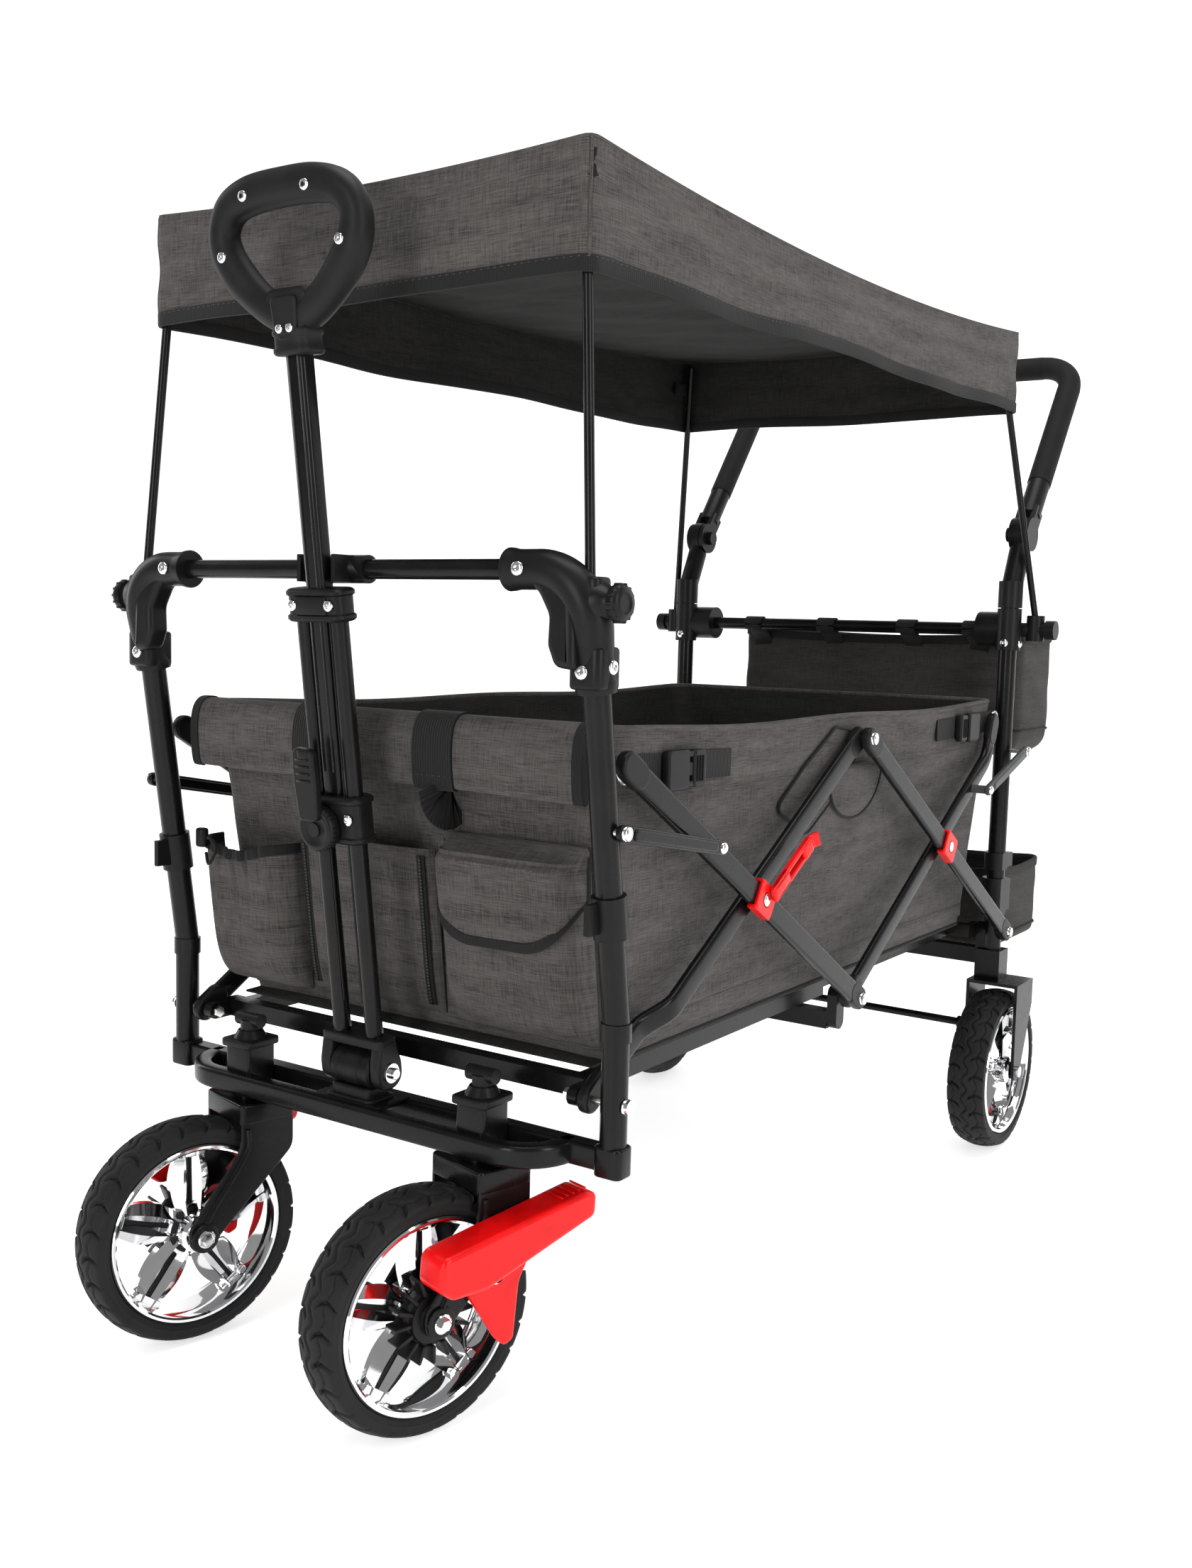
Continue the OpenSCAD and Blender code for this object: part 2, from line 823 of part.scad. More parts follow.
module rear_lower_frame() {
    lead = rear_axle_lead;
    color("black") stand() {
        both() difference() {
            translate([rear_wheel_x, span - 6, 0]) fork(30, 0, 180, 6 - lead);
            pin([span - 2, brake_z], rear_wheel_x - fork_gap / 2 - leg_t - 1, rear_wheel_x, 4 + run);
        }
        difference() {
            union() {
                block([-rear_x, span - 9, rear_rail_z - 10], [rear_x, span + 9, rear_rail_z + 10]);
                both() block([rear_x - 16, span - 16, fork_top - 1],
                    [rear_x + 16, span + 16, rear_rail_z + 10]);
            }
            both() rod([rear_x, span, fork_top], [rear_x, span, 300], post_r);
        }
        both() {
            pin(rear_pivot, eye_in - 3, eye_out + pass, rivet_r);
            difference() {
                plate(eye_out + pass, rear_x) link_shape(rear_pivot, [span, rear_rail_z + 8], 9);
                rod([rear_x, span, 200], [rear_x, span, 300], post_r);
            }
        }
    }
}

brake_z = 150;

module brake_bar() {
    inner = rear_wheel_x - fork_gap / 2 - leg_t;
    y = span - 2;
    color("red") stand() {
        both() {
            plate(inner - pass - 9, inner - pass) union() {
                link_shape([y, brake_z], [y + 42, brake_z - 14], 9);
                link_shape([y, brake_z], [y - 12, brake_z - 30], 6);
            }
            pin([y, brake_z], inner - pass - 1, inner + leg_t, 4);
            block([inner - pass - 28, y + 36, brake_z - 24], [inner - pass - 9, y + 66, brake_z - 8]);
        }
        pin([y + 44, brake_z - 16], -inner + pass + 28, inner - pass - 28, 5);
    }
}

module rear_hub() {
    z = rear_bar_z;
    difference() {
        union() {
            rod([rear_x, span, z - 26], [rear_x, span, z + 26], post_r + 4);
            pin([hub_y, z], rear_x - 42, rear_x - 8, 22);
            // pole socket and end knob
            translate([rear_x + 28, hub_y + 5, z - 14]) cylinder(r = 11, h = 32);
            pin([hub_y + 5, z], rear_x + 4, rear_x + 42, 9);
            pin([hub_y + 5, z], rear_x + 42, rear_x + 54, 12);
        }
        rod([rear_x, span, 500], [rear_x, span, sleeve_z + 40], post_r + slip);
        pin([hub_y, z], -100, rear_x - 20, cross_r + slip);
        translate([rear_x + 28, hub_y + 5, z + 10]) cylinder(r = 6.5, h = 30);
    }
}

module rear_crossbar() {
    reach = rear_x - 22;
    color("black") stand() pin([hub_y, rear_bar_z], -reach, reach, cross_r);
}

// the two post clamps that carry the rear basket
module basket_clamps() {
    low = rear_basket_z + 60;
    high = rear_basket_z + rear_basket_h + 3;
    difference() {
        union() {
            rod([rear_x, span, high], [rear_x, span, high + 22], post_r + 4);
            block([rear_x - 6, span, high], [rear_x + 6, span + 44, high + 18]);
            rod([rear_x, span, low - 4], [rear_x, span, low + 44], post_r + 5);
            block([rear_x - 9, span, low], [rear_x + 9, rear_basket_y - pass, low + 40]);
        }
        rod([rear_x, span, 250], [rear_x, span, 420], post_r + slip);
        // flat outer side, so that the outer bar can pass
        block([outer_x - bar_t / 2 - pass, span - 30, 250], [outer_x + 30, span + 30, 420]);
    }
}

module rear_clamps() {
    color("dimgray") stand() both() {
        rear_hub();
        basket_clamps();
    }
}

// ---- push handle ----

hinge_r = 22;
button_r = 9;

module push_sleeves() {
    color("dimgray") stand() both() difference() {
        union() {
            rod([rear_x, span, sleeve_z + 1], [rear_x, span, sleeve_z + 34], post_r + 4);
            rod([rear_x, span, sleeve_z + 20], [rear_x, hinge_y, hinge_z], 13);
            pin([hinge_y, hinge_z], rear_x - 6, rear_x + 6, hinge_r);
        }
        rod([rear_x, span, 500], [rear_x, span, sleeve_z + 30], post_r + slip);
        pin([hinge_y, hinge_z], rear_x - 40, rear_x + 40, 6 + run);
        push_space();
    }
}

// room that the fork of the push handle needs around the hinge
module push_space() {
    for (s = [-1, 1]) pin([hinge_y, hinge_z], rear_x + (s > 0 ? 6 : -17), rear_x + (s > 0 ? 17 : -6),
        hinge_r + 2);
}

module push_handle() {
    dir = [0, sin(push_lean), cos(push_lean)];
    h = [rear_x, hinge_y, hinge_z];
    color("dimgray") stand() both() {
        difference() {
            for (x = [-12.5, 6.5]) plate(rear_x + x, rear_x + x + 6) translate([hinge_y, hinge_z]) {
                circle(hinge_r - 1);
                rotate(-push_lean) translate([-11, 0]) square([22, 40]);
            }
            // pocket that the button sinks into
            pin([hinge_y, hinge_z], rear_x - 14, rear_x - 8, button_r + pass);
        }
        rod(h + dir * 30, h + dir * 84, 14);
        pin([hinge_y, hinge_z], rear_x - 7, rear_x + 7, 6);
    }
}

module push_grip() {
    dir = [0, sin(push_lean), cos(push_lean)];
    h = [rear_x, hinge_y, hinge_z];
    bend = 44;
    top = [rear_x, push_top[0], push_top[1]];
    color("black") stand() {
        both() {
            rod(h + dir * 84, top - dir * bend, foam_r);
            translate(top - dir * bend - [bend, 0, 0]) rotate([90 - push_lean, 0, 0]) rotate([0, 0, -3])
                rotate_extrude(angle = 96) translate([bend, 0]) circle(foam_r - 0.4);
        }
        rod([-rear_x + bend, push_top[0], push_top[1]], [rear_x - bend, push_top[0], push_top[1]], foam_r);
    }
}

module push_button() {
    pin([hinge_y, hinge_z], rear_x - 20, rear_x - 13, button_r);
}

module push_button_left() {
    color("black") stand() mirror([1, 0, 0]) push_button();
}

module push_button_right() {
    color("black") stand() push_button();
}

// ---- pull bar ----

module pull_place() {
    translate([0, pull_pivot[0], pull_pivot[1]]) rotate([pull_lean, 0, 0]) children();
}

module pull_frame() {
    color("black") stand() pull_place() {
        both() {
            pin([0, 0], 22 + pass, 34, 15);
            block([22 + pass, -8, 0], [34, 8, yoke_top + 1]);
            translate([pull_gap / 2, 0, yoke_top + 3]) cylinder(r = pull_r, h = pull_len - yoke_top);
        }
        block([-34, -10, yoke_top], [34, 10, yoke_top + 6]);
        pin([0, 0], -34, 34, 5);
        // upper collar, open in the middle for the sliding tube
        difference() {
            translate([0, 0, pull_len - 14]) linear_extrude(26) {
                square([pull_gap, 22], center = true);
                for (s = [-1, 1]) translate([s * pull_gap / 2, 0]) circle(11);
            }
            slide_hole(pass);
        }
    }
}

module slide_hole(gap) {
    translate([-slide_w / 2 - gap, -slide_d / 2 - gap, 0]) cube([slide_w + 2 * gap, slide_d + 2 * gap, 1000]);
}

module pull_slider() {
    color("black") stand() pull_place() {
        translate([-slide_w / 2, -slide_d / 2, collar_low - 20])
            cube([slide_w, slide_d, neck_z - collar_low + 20]);
        difference() {
            translate([0, 0, collar_low - 32]) linear_extrude(44) {
                square([pull_gap, 24], center = true);
                for (s = [-1, 1]) translate([s * pull_gap / 2, 0]) circle(12);
            }
            for (s = [-1, 1]) translate([s * pull_gap / 2, 0, 0]) cylinder(r = pull_r + pass, h = pull_len);
            translate([-slide_w / 2, -slide_d / 2, collar_low - 20]) cube([slide_w, slide_d, 200]);
        }
        // boss that carries the round cap and the lever
        translate([-6, -12, collar_low - 18]) rotate([90, 0, 0]) cylinder(r = 6, h = 14);
    }
}

module pull_lever() {
    color("dimgray") stand() pull_place() translate([-6, 0, collar_low - 18]) difference() {
        union() {
            translate([0, -13 - pass, 0]) rotate([90, 0, 0]) cylinder(r = 19, h = 12);
            translate([-11, -22 - pass, 10]) cube([20, 8, 58]);
        }
        translate([0, -11, 0]) rotate([90, 0, 0]) cylinder(r = 6 + run, h = 30);
    }
}

// a rounded triangle: two corners of radius top at the upper ends and one of radius low at the neck
module grip_outline(inset, top, low, low_z, $fn = 48) {
    hull() {
        for (s = [-1, 1]) translate([s * (grip_w / 2 - inset - top), grip_h - inset - top - 6]) circle(top);
        translate([0, grip_h - inset - top]) circle(top);
        translate([0, low_z]) circle(low);
    }
}

module pull_grip() {
    color("black") stand() pull_place() translate([0, 0, neck_z]) {
        rotate([90, 0, 0]) translate([0, 0, -grip_d / 2]) linear_extrude(grip_d) difference() {
            grip_outline(0, 36, 16, 16);
            grip_outline(25, 18, 10, 46);
        }
    }
}

// ---- soft parts ----

basket_front = 14;
basket_rear = span - post_r - 11;
pocket_out = 32;
pocket_x = 58;

module basket_outline(inset) {
    polygon([[-basket_low_x + inset, basket_z + inset], [basket_low_x - inset, basket_z + inset],
        [basket_top_x - inset, basket_rim_z + inset], [-basket_top_x + inset, basket_rim_z + inset]]);
}

// a front pocket, open at the top
module front_pocket() {
    low = [pocket_x, basket_front - pocket_out, basket_z + 22];
    high = [198, basket_front, 462];
    difference() {
        block(low, high);
        block(low + [cloth_t, cloth_t, cloth_t], high + [-cloth_t, -1, 1]);
    }
}

module basket() {
    color("#55504e") stand() {
        difference() {
            translate([0, basket_rear, 0]) rotate([90, 0, 0]) linear_extrude(basket_rear - basket_front)
                intersection() {
                    basket_outline(0);
                    translate([-400, 0]) square([800, basket_rim_z]);
                }
            translate([0, basket_rear - cloth_t, 0]) rotate([90, 0, 0])
                linear_extrude(basket_rear - basket_front - 2 * cloth_t) basket_outline(cloth_t);
        }
        both() front_pocket();
    }
}

// the storage bag that hangs behind the rear crossbar
rear_bag_y = span + 38;
rear_bag_d = 140;

module open_bag(a, b, wall) {
    difference() {
        block(a, b);
        block(a + [wall, wall, wall], b + [-wall, -wall, 1]);
    }
}

module rear_bag() {
    color("#403c3b") stand() open_bag([-162, rear_bag_y, 492],
        [rear_x + 4, rear_bag_y + rear_bag_d, rear_bar_z], cloth_t);
}

// the low basket behind the rear posts
rear_basket_y = span + 32;
rear_basket_z = 236;
rear_basket_h = 112;

module rear_basket() {
    color("#403c3b") stand() open_bag([-226, rear_basket_y, rear_basket_z], [226, rear_basket_y + 190,
        rear_basket_z + rear_basket_h], cloth_t);
}

module roof_box(inset) {
    translate([-roof_x + inset, inset, -1 + (inset > 0 ? 0 : 1)])
        cube([2 * (roof_x - inset), roof_len - 2 * inset, roof_drop + (inset > 0 ? 1 - 3 : 0)]);
}

module roof() {
    color("#5d5755") stand() translate([0, roof_front, roof_z]) rotate([roof_tilt, 0, 0]) difference() {
        roof_box(0);
        roof_box(2);
    }
}

front_posts();
front_lower_frame();
front_elbows();
front_crossbar();
front_clamps();
front_pivot_bolts();
front_poles();
pull_pivot_base();
swivel_pin_left();
swivel_pin_right();
scissor_front_inner();
scissor_front_outer();
scissor_rear_outer();
scissor_rear_inner();
rivets_front();
rivets_middle();
rivets_rear();
front_clips();
rear_clips();
latch_lever_left();
latch_lever_right();
mid_crossbar();
front_stays();
rear_stays();
floor_frame_front();
floor_frame_rear();
caster_fork_left();
caster_fork_right();
caster_pedal_left();
caster_pedal_right();
tyre_front_left();
tyre_front_right();
tyre_rear_left();
tyre_rear_right();
rim_front_left();
rim_front_right();
rim_rear_left();
rim_rear_right();
front_axle_bolts_left();
front_axle_bolts_right();
rear_bolts();
rear_posts();
rear_lower_frame();
rear_clamps();
rear_crossbar();
rear_poles();
rear_bag();
rear_basket();
brake_bar();
push_sleeves();
push_handle();
push_grip();
push_button_left();
push_button_right();
pull_frame();
pull_slider();
pull_grip();
pull_lever();
basket();
roof();
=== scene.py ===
import json
import math
import bmesh
import bpy
import numpy as np
from mathutils import Matrix, Vector


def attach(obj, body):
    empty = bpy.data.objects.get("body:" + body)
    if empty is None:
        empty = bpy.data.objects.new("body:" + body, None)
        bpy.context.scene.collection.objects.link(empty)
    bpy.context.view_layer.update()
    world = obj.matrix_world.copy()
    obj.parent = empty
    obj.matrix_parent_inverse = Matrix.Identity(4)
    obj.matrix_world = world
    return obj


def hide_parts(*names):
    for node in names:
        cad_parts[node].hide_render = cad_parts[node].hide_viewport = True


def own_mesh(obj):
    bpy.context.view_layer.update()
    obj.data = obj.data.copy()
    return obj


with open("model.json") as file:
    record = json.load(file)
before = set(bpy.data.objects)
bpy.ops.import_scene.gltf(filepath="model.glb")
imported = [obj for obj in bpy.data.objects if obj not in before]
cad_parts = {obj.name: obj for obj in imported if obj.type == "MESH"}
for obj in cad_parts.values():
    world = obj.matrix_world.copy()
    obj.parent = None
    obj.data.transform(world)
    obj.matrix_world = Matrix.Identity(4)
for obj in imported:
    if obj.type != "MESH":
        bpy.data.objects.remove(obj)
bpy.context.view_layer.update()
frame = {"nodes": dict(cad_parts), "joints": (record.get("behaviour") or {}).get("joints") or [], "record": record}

joints = {j["name"]: j for j in frame["joints"]}
pivotY = joints["fold"]["pos_m"][1]  # the front fold pivot; lengths below are mm behind it

# measures that several pieces share, in mm
wagon = dict(
    span=900.0, pivotZ=272.0, rise=268.0,  # fold pivots and the height of the upper middle joint
    postX=247.5, kinkZ=335.0, postLean=8.5, rearX=235.0,
    innerX=240.0, outerX=251.5, footX=223.5, barT=9.0, barH=22.0,
    frontBarZ=687.0, rearBarZ=655.0, hubY=912.0,
    wheelR=100.0, swivelX=135.0, swivelY=-24.0, trail=62.0, casterTurn=15.0, rearWheelX=250.0,
             rearAxleY=878.0,
)
openAngle = math.atan2(wagon["rise"], wagon["span"] / 2)
tau = 2 * math.pi


def postY(z):  # the front posts lean forward above the kink
    return -max(z - wagon["kinkZ"], 0) * math.tan(math.radians(wagon["postLean"]))


frontBarY = postY(wagon["frontBarZ"]) - 3

# mesh makers
# a part is a dict: points (n, 3) in mm, quads, rings (many-sided faces), corner uvs and a material number


# A grid of points p[i, j] becomes quads; either direction may close on itself, and the first and last
# row may be capped by one face each.
def gridPart(p, uv=None, wrapU=False, wrapV=False, capU=False, mat=0):
    nu, nv = p.shape[:2]
    i = np.arange(nu if wrapU else nu - 1)[:, None]
    j = np.arange(nv if wrapV else nv - 1)[None, :]
    i2, j2 = (i + 1) % nu, (j + 1) % nv
    corners = np.broadcast_arrays(i * nv + j, i2 * nv + j, i2 * nv + j2, i * nv + j2)
    quads = np.stack(corners, -1).reshape(-1, 4)
    if uv is None:
        uv = np.zeros((nu + 1, nv + 1, 2))
    corner = np.stack([uv[i, j], uv[i + 1, j], uv[i + 1, j + 1], uv[i, j + 1]], 2).reshape(-1, 4, 2)
    rings = []
    if capU:
        rings = [np.arange(nv)[::-1], (nu - 1) * nv + np.arange(nv)]
    return dict(points=p.reshape(-1, 3).astype(float), quads=quads, rings=rings, uv=corner, mat=mat)


# The signed volume under the faces: negative means that a closed part is inside out, so it is turned.
def outward(part):
    p, q = part["points"], part["quads"]
    tris = [q[:, [0, 1, 2]], q[:, [0, 2, 3]]]
    for ring in part["rings"]:
        tris.append(np.stack([np.full(len(ring) - 2, ring[0]), ring[1:-1], ring[2:]], 1))
    t = p[np.concatenate(tris)] - p.mean(0)
    if np.einsum("ij,ij->i", t[:, 0], np.cross(t[:, 1], t[:, 2])).sum() < 0:
        part["quads"] = q[:, ::-1]
        part["uv"] = part["uv"][:, ::-1]
        part["rings"] = [ring[::-1] for ring in part["rings"]]
    return part


def flipped(part):  # an open grid turned over, so that its other side faces out
    part["quads"], part["uv"] = part["quads"][:, ::-1], part["uv"][:, ::-1]
    return part


# Unit tangents of a path, and two directions across it: one as near as can be to the given up.
def pathFrames(path, up, closed=False):
    if closed:
        t = np.roll(path, -1, 0) - np.roll(path, 1, 0)
    else:
        t = np.gradient(path, axis=0)
    t /= np.linalg.norm(t, axis=1)[:, None]
    up = np.broadcast_to(np.asarray(up, float), path.shape)
    n = up - (up * t).sum(1)[:, None] * t
    n /= np.linalg.norm(n, axis=1)[:, None]
    return t, n, np.cross(t, n)


# A closed profile (a, b) is carried along a path: a runs sideways and b along up; grow widens it by row.
def carry(path, profile, up=(0, 0, 1), closed=False, grow=None, mat=0, uvScale=1.0):
    path, profile = np.asarray(path, float), np.asarray(profile, float)
    n, b = pathFrames(path, up, closed)[1:]
    g = np.ones((len(path), 1, 1)) if grow is None else np.asarray(grow, float).reshape(len(path), -1, 1)
    p = path[:, None] + g * (profile[None, :, :1] * b[:, None] + profile[None, :, 1:] * n[:, None])
    along = np.append(0, np.cumsum(np.linalg.norm(np.roll(path, -1, 0) - path, axis=1)))
    around = np.append(0, np.cumsum(np.linalg.norm(np.roll(profile, -1, 0) - profile, axis=1)))
    uv = np.stack(np.meshgrid(along, around, indexing="ij"), -1) * uvScale / 1000
    return outward(gridPart(p, uv, wrapU=closed, wrapV=True, capU=not closed, mat=mat))


def circle(r, n=24):
    a = np.arange(n) * tau / n
    return np.stack([r * np.cos(a), r * np.sin(a)], 1)


# A rectangle w by h whose corners are quarter circles of radius r.
def roundRect(w, h, r, n=5):
    a = np.linspace(0, math.pi / 2, n)
    corners = [(w / 2 - r, h / 2 - r, 0), (-w / 2 + r, h / 2 - r, 1), (-w / 2 + r, -h / 2 + r, 2),
               (w / 2 - r, -h / 2 + r, 3)]
    return np.concatenate([np.stack([cx + r * np.cos(a + k * math.pi / 2),
                                     cy + r * np.sin(a + k * math.pi / 2)], 1)
                           for cx, cy, k in corners])


# Straight lengths between corner points, with a circular arc of the given radius at each inner corner.
def bentPath(corners, radius, step=6.0, closed=False):
    c = np.asarray(corners, float)
    n = len(c)
    out = []
    for k in range(n):
        if not closed and k in (0, n - 1):
            out.append(c[k][None])
            continue
        a, b = c[(k - 1) % n] - c[k], c[(k + 1) % n] - c[k]
        a, b = a / np.linalg.norm(a), b / np.linalg.norm(b)
        half = math.acos(max(-1, min(1, float(a @ b)))) / 2
        r = radius[k] if isinstance(radius, (list, tuple)) else radius
        middle = (a + b) / np.linalg.norm(a + b)
        centre = c[k] + middle * r / math.sin(half)
        turn = math.pi - 2 * half
        f = np.linspace(-turn / 2, turn / 2, max(4, int(turn * r / step * 2)))
        side = (b - a) / np.linalg.norm(b - a)
        out.append(centre + r * (-middle * np.cos(f)[:, None] + side * np.sin(f)[:, None]))
    p = np.concatenate(out)
    return resample(p, step, closed)


# Points at even steps along a polyline, keeping its ends.
def resample(p, step, closed=False):
    q = np.concatenate([p, p[:1]]) if closed else p
    s = np.append(0, np.cumsum(np.linalg.norm(np.diff(q, axis=0), axis=1)))
    m = max(4, int(s[-1] / step))
    at = np.linspace(0, s[-1], m + 1)
    r = np.stack([np.interp(at, s, q[:, k]) for k in range(q.shape[1])], 1)
    return r[:-1] if closed else r


# A smooth curve through points: each stretch is the Catmull-Rom cubic of its four neighbours.
def smoothPath(points, step=4.0, closed=False):
    p = np.asarray(points, float)
    if closed:
        q = np.concatenate([p[-1:], p, p[:2]])
    else:
        q = np.concatenate([2 * p[:1] - p[1:2], p, 2 * p[-1:] - p[-2:-1]])
    t = np.linspace(0, 1, 24, endpoint=False)[None, :, None]
    a, b, c, d = (q[k:len(q) - 3 + k][:, None] for k in range(4))
    square, cube = 2 * a - 5 * b + 4 * c - d, 3 * b - a - 3 * c + d
    curve = 0.5 * (2 * b + (c - a) * t + square * t ** 2 + cube * t ** 3)
    curve = curve.reshape(-1, p.shape[1])
    if not closed:
        curve = np.concatenate([curve, p[-1:]])
    return resample(curve, step, closed)


def tube(path, r, n=24, mat=0, up=(0, 0, 1), closed=False, grow=None):
    return carry(path, circle(r, n), up, closed, grow, mat)


# A profile of (radius, height) pairs is turned about an axis through a centre.
def lathe(profile, centre, axis, n=32, mat=0):
    profile = np.asarray(profile, float)
    ax = np.asarray(axis, float)
    ax = ax / np.linalg.norm(ax)
    side = np.cross(ax, [0, 0, 1] if abs(ax[2]) < 0.9 else [1, 0, 0])
    side /= np.linalg.norm(side)
    other = np.cross(ax, side)
    a = np.arange(n) * tau / n
    ring = np.cos(a)[:, None] * side + np.sin(a)[:, None] * other
    p = np.asarray(centre, float) + profile[:, None, 1:] * ax + profile[:, None, :1] * ring[None]
    hollow = np.allclose(profile[0], profile[-1])  # the profile comes back to its start: a ring without ends
    return outward(gridPart(p, wrapV=True, mat=mat, capU=not hollow and profile[0, 0] > 1e-6))


# An outline (a, b) pulled straight along w from w0 to w1; its edges are rounded by a quarter circle.
# place turns columns a, b, w into x, y, z.
def slab(outline, w0, w1, edge=1.0, place=None, mat=0, steps=3):
    o = np.asarray(outline, float)
    area = (o[:, 0] * np.roll(o[:, 1], -1) - np.roll(o[:, 0], -1) * o[:, 1]).sum()
    if area < 0:
        o = o[::-1]
    e1, e2 = o - np.roll(o, 1, 0), np.roll(o, -1, 0) - o
    n1 = np.stack([e1[:, 1], -e1[:, 0]], 1) / np.maximum(np.linalg.norm(e1, axis=1), 1e-9)[:, None]
    n2 = np.stack([e2[:, 1], -e2[:, 0]], 1) / np.maximum(np.linalg.norm(e2, axis=1), 1e-9)[:, None]
    n = n1 + n2
    n /= np.maximum((n * n).sum(1) / 2, 0.35)[:, None]  # a mitre, held back at sharp corners
    f = np.linspace(0, math.pi / 2, steps + 1)
    inset = np.concatenate([edge * (1 - np.sin(f)), edge * (1 - np.sin(f[::-1]))])
    level = np.concatenate([w0 + edge * (1 - np.cos(f)), w1 - edge * (1 - np.cos(f[::-1]))])
    ab = o[None] - inset[:, None, None] * n[None]
    w = np.broadcast_to(level[:, None, None], ab.shape[:2] + (1,))
    p = np.concatenate([ab, w], 2)
    if place is not None:
        p = place(p)
    return outward(gridPart(p, wrapV=True, capU=True, mat=mat))


def acrossX(p):  # outline drawn in y, z; thickness along x
    return p[..., [2, 0, 1]]


def acrossY(p):  # outline drawn in x, z; thickness along y
    return p[..., [0, 2, 1]]


def block(low, high, r=3.0, edge=1.5, mat=0):
    low, high = np.asarray(low, float), np.asarray(high, float)
    c, d = (low + high) / 2, high - low
    return slab(roundRect(d[0], d[1], min(r, d[0] / 2.1, d[1] / 2.1)) + c[:2], low[2], high[2],
                min(edge, d[2] / 2.1), mat=mat)


# A straight rod from p to q.
def rod(p, q, r, n=24, mat=0, edge=0.8):
    p, q = np.asarray(p, float), np.asarray(q, float)
    long = np.linalg.norm(q - p)
    e = min(edge, r / 2, long / 2.2)
    return lathe([(0, 0), (r - e, 0), (r, e), (r, long - e), (r - e, long), (0, long)], p, q - p, n, mat)


# A round-headed screw: a low dome with a socket sunk in its middle.
def screw(at, axis, r=6.0, h=3.0, mat=0, sides=20):
    f = np.linspace(0, math.pi / 2, 6)
    dome = [(0, h - 1.6), (r * 0.36, h - 1.6), (r * 0.4, h)]
    dome += [(r * (0.4 + 0.6 * math.sin(a)), h * (0.35 + 0.65 * math.cos(a))) for a in f[1:]]
    return lathe(dome + [(r, 0), (0, 0)], at, axis, sides, mat)


# The two sides of the wagon: the mirror image of a part in x.
def mirrored(part):
    q = dict(part)
    q["points"] = part["points"] * [-1, 1, 1]
    q["quads"] = part["quads"][:, ::-1]
    q["uv"] = part["uv"][:, ::-1]
    q["rings"] = [ring[::-1] for ring in part["rings"]]
    return q


def bothSides(parts):
    return parts + [mirrored(part) for part in parts]


def moved(part, matrix):
    q = dict(part)
    m = np.array(matrix)
    q["points"] = part["points"] @ m[:3, :3].T + m[:3, 3]
    return q


# Puts parts into one mesh object in metres, in the part's own frame, and fastens it to its body.
def makePiece(name, parts, body, mats, replaced=(), weld=0.02, sharp=35.0, solidify=None, subsurf=0):
    base, faces, uvs, matIndex, points = 0, [], [], [], []
    for part in parts:
        points.append(part["points"])
        faces += (part["quads"] + base).tolist() + [(ring + base).tolist() for ring in part["rings"]]
        uvs.append(part["uv"].reshape(-1, 2))
        uvs += [np.zeros((len(ring), 2)) for ring in part["rings"]]
        matIndex += [part["mat"]] * (len(part["quads"]) + len(part["rings"]))
        base += len(part["points"])
    co = np.concatenate(points) / 1000 + [0, pivotY, 0]
    mesh = bpy.data.meshes.new(name)
    mesh.from_pydata(co.tolist(), [], faces)
    layer = mesh.uv_layers.new(name="UVMap")
    layer.data.foreach_set("uv", np.concatenate(uvs).ravel())
    mesh.polygons.foreach_set("material_index", matIndex)
    bm = bmesh.new()
    bm.from_mesh(mesh)
    bmesh.ops.remove_doubles(bm, verts=bm.verts, dist=weld / 1000)
    bmesh.ops.dissolve_degenerate(bm, edges=bm.edges, dist=1e-6)
    bm.to_mesh(mesh)
    bm.free()
    for m in mats:
        mesh.materials.append(m)
    mesh.shade_smooth()
    mesh.set_sharp_from_angle(angle=math.radians(sharp))
    piece = bpy.data.objects.new(name, mesh)
    bpy.context.scene.collection.objects.link(piece)
    if solidify:
        wall = piece.modifiers.new("wall", "SOLIDIFY")
        wall.thickness = solidify.get("thickness", 1.5) / 1000
        wall.offset = solidify.get("offset", -1)
        wall.use_rim = True
        if "inner" in solidify:
            wall.material_offset = solidify["inner"]
    if subsurf:
        sub = piece.modifiers.new("smooth", "SUBSURF")
        sub.levels = sub.render_levels = subsurf
    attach(piece, body)
    if replaced:
        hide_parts(*replaced)
    return piece


# materials
# Every finish is a Principled shader with its colour, roughness and relief from noise and waves.

finishes = dict(
    clothDark=(0.020, 0.0183, 0.0176), clothLight=(0.120, 0.110, 0.105),  # the two yarns of the grey cloth
    liningDark=(0.008, 0.0075, 0.0073), liningLight=(0.036, 0.034, 0.033),
    bagDark=(0.020, 0.0185, 0.018), bagLight=(0.062, 0.057, 0.055),
    paint=(0.0035, 0.0035, 0.0038), plastic=(0.006, 0.006, 0.0063), foam=(0.008, 0.008, 0.008),
    red=(0.62, 0.0015, 0.002), tape=(0.005, 0.005, 0.0053), rubber=(0.0095, 0.0095, 0.01),
    thread=(0.05, 0.047, 0.045),
)


def newMaterial(name, metal=0.0, rough=0.5, **sockets):
    m = bpy.data.materials.new(name)
    m.use_nodes = True
    shader = m.node_tree.nodes["Principled BSDF"]
    shader.inputs["Metallic"].default_value = metal
    shader.inputs["Roughness"].default_value = rough
    for key, value in sockets.items():
        shader.inputs[key].default_value = value
    return m, m.node_tree, shader


def link(tree, a, b):
    tree.links.new(a, b)


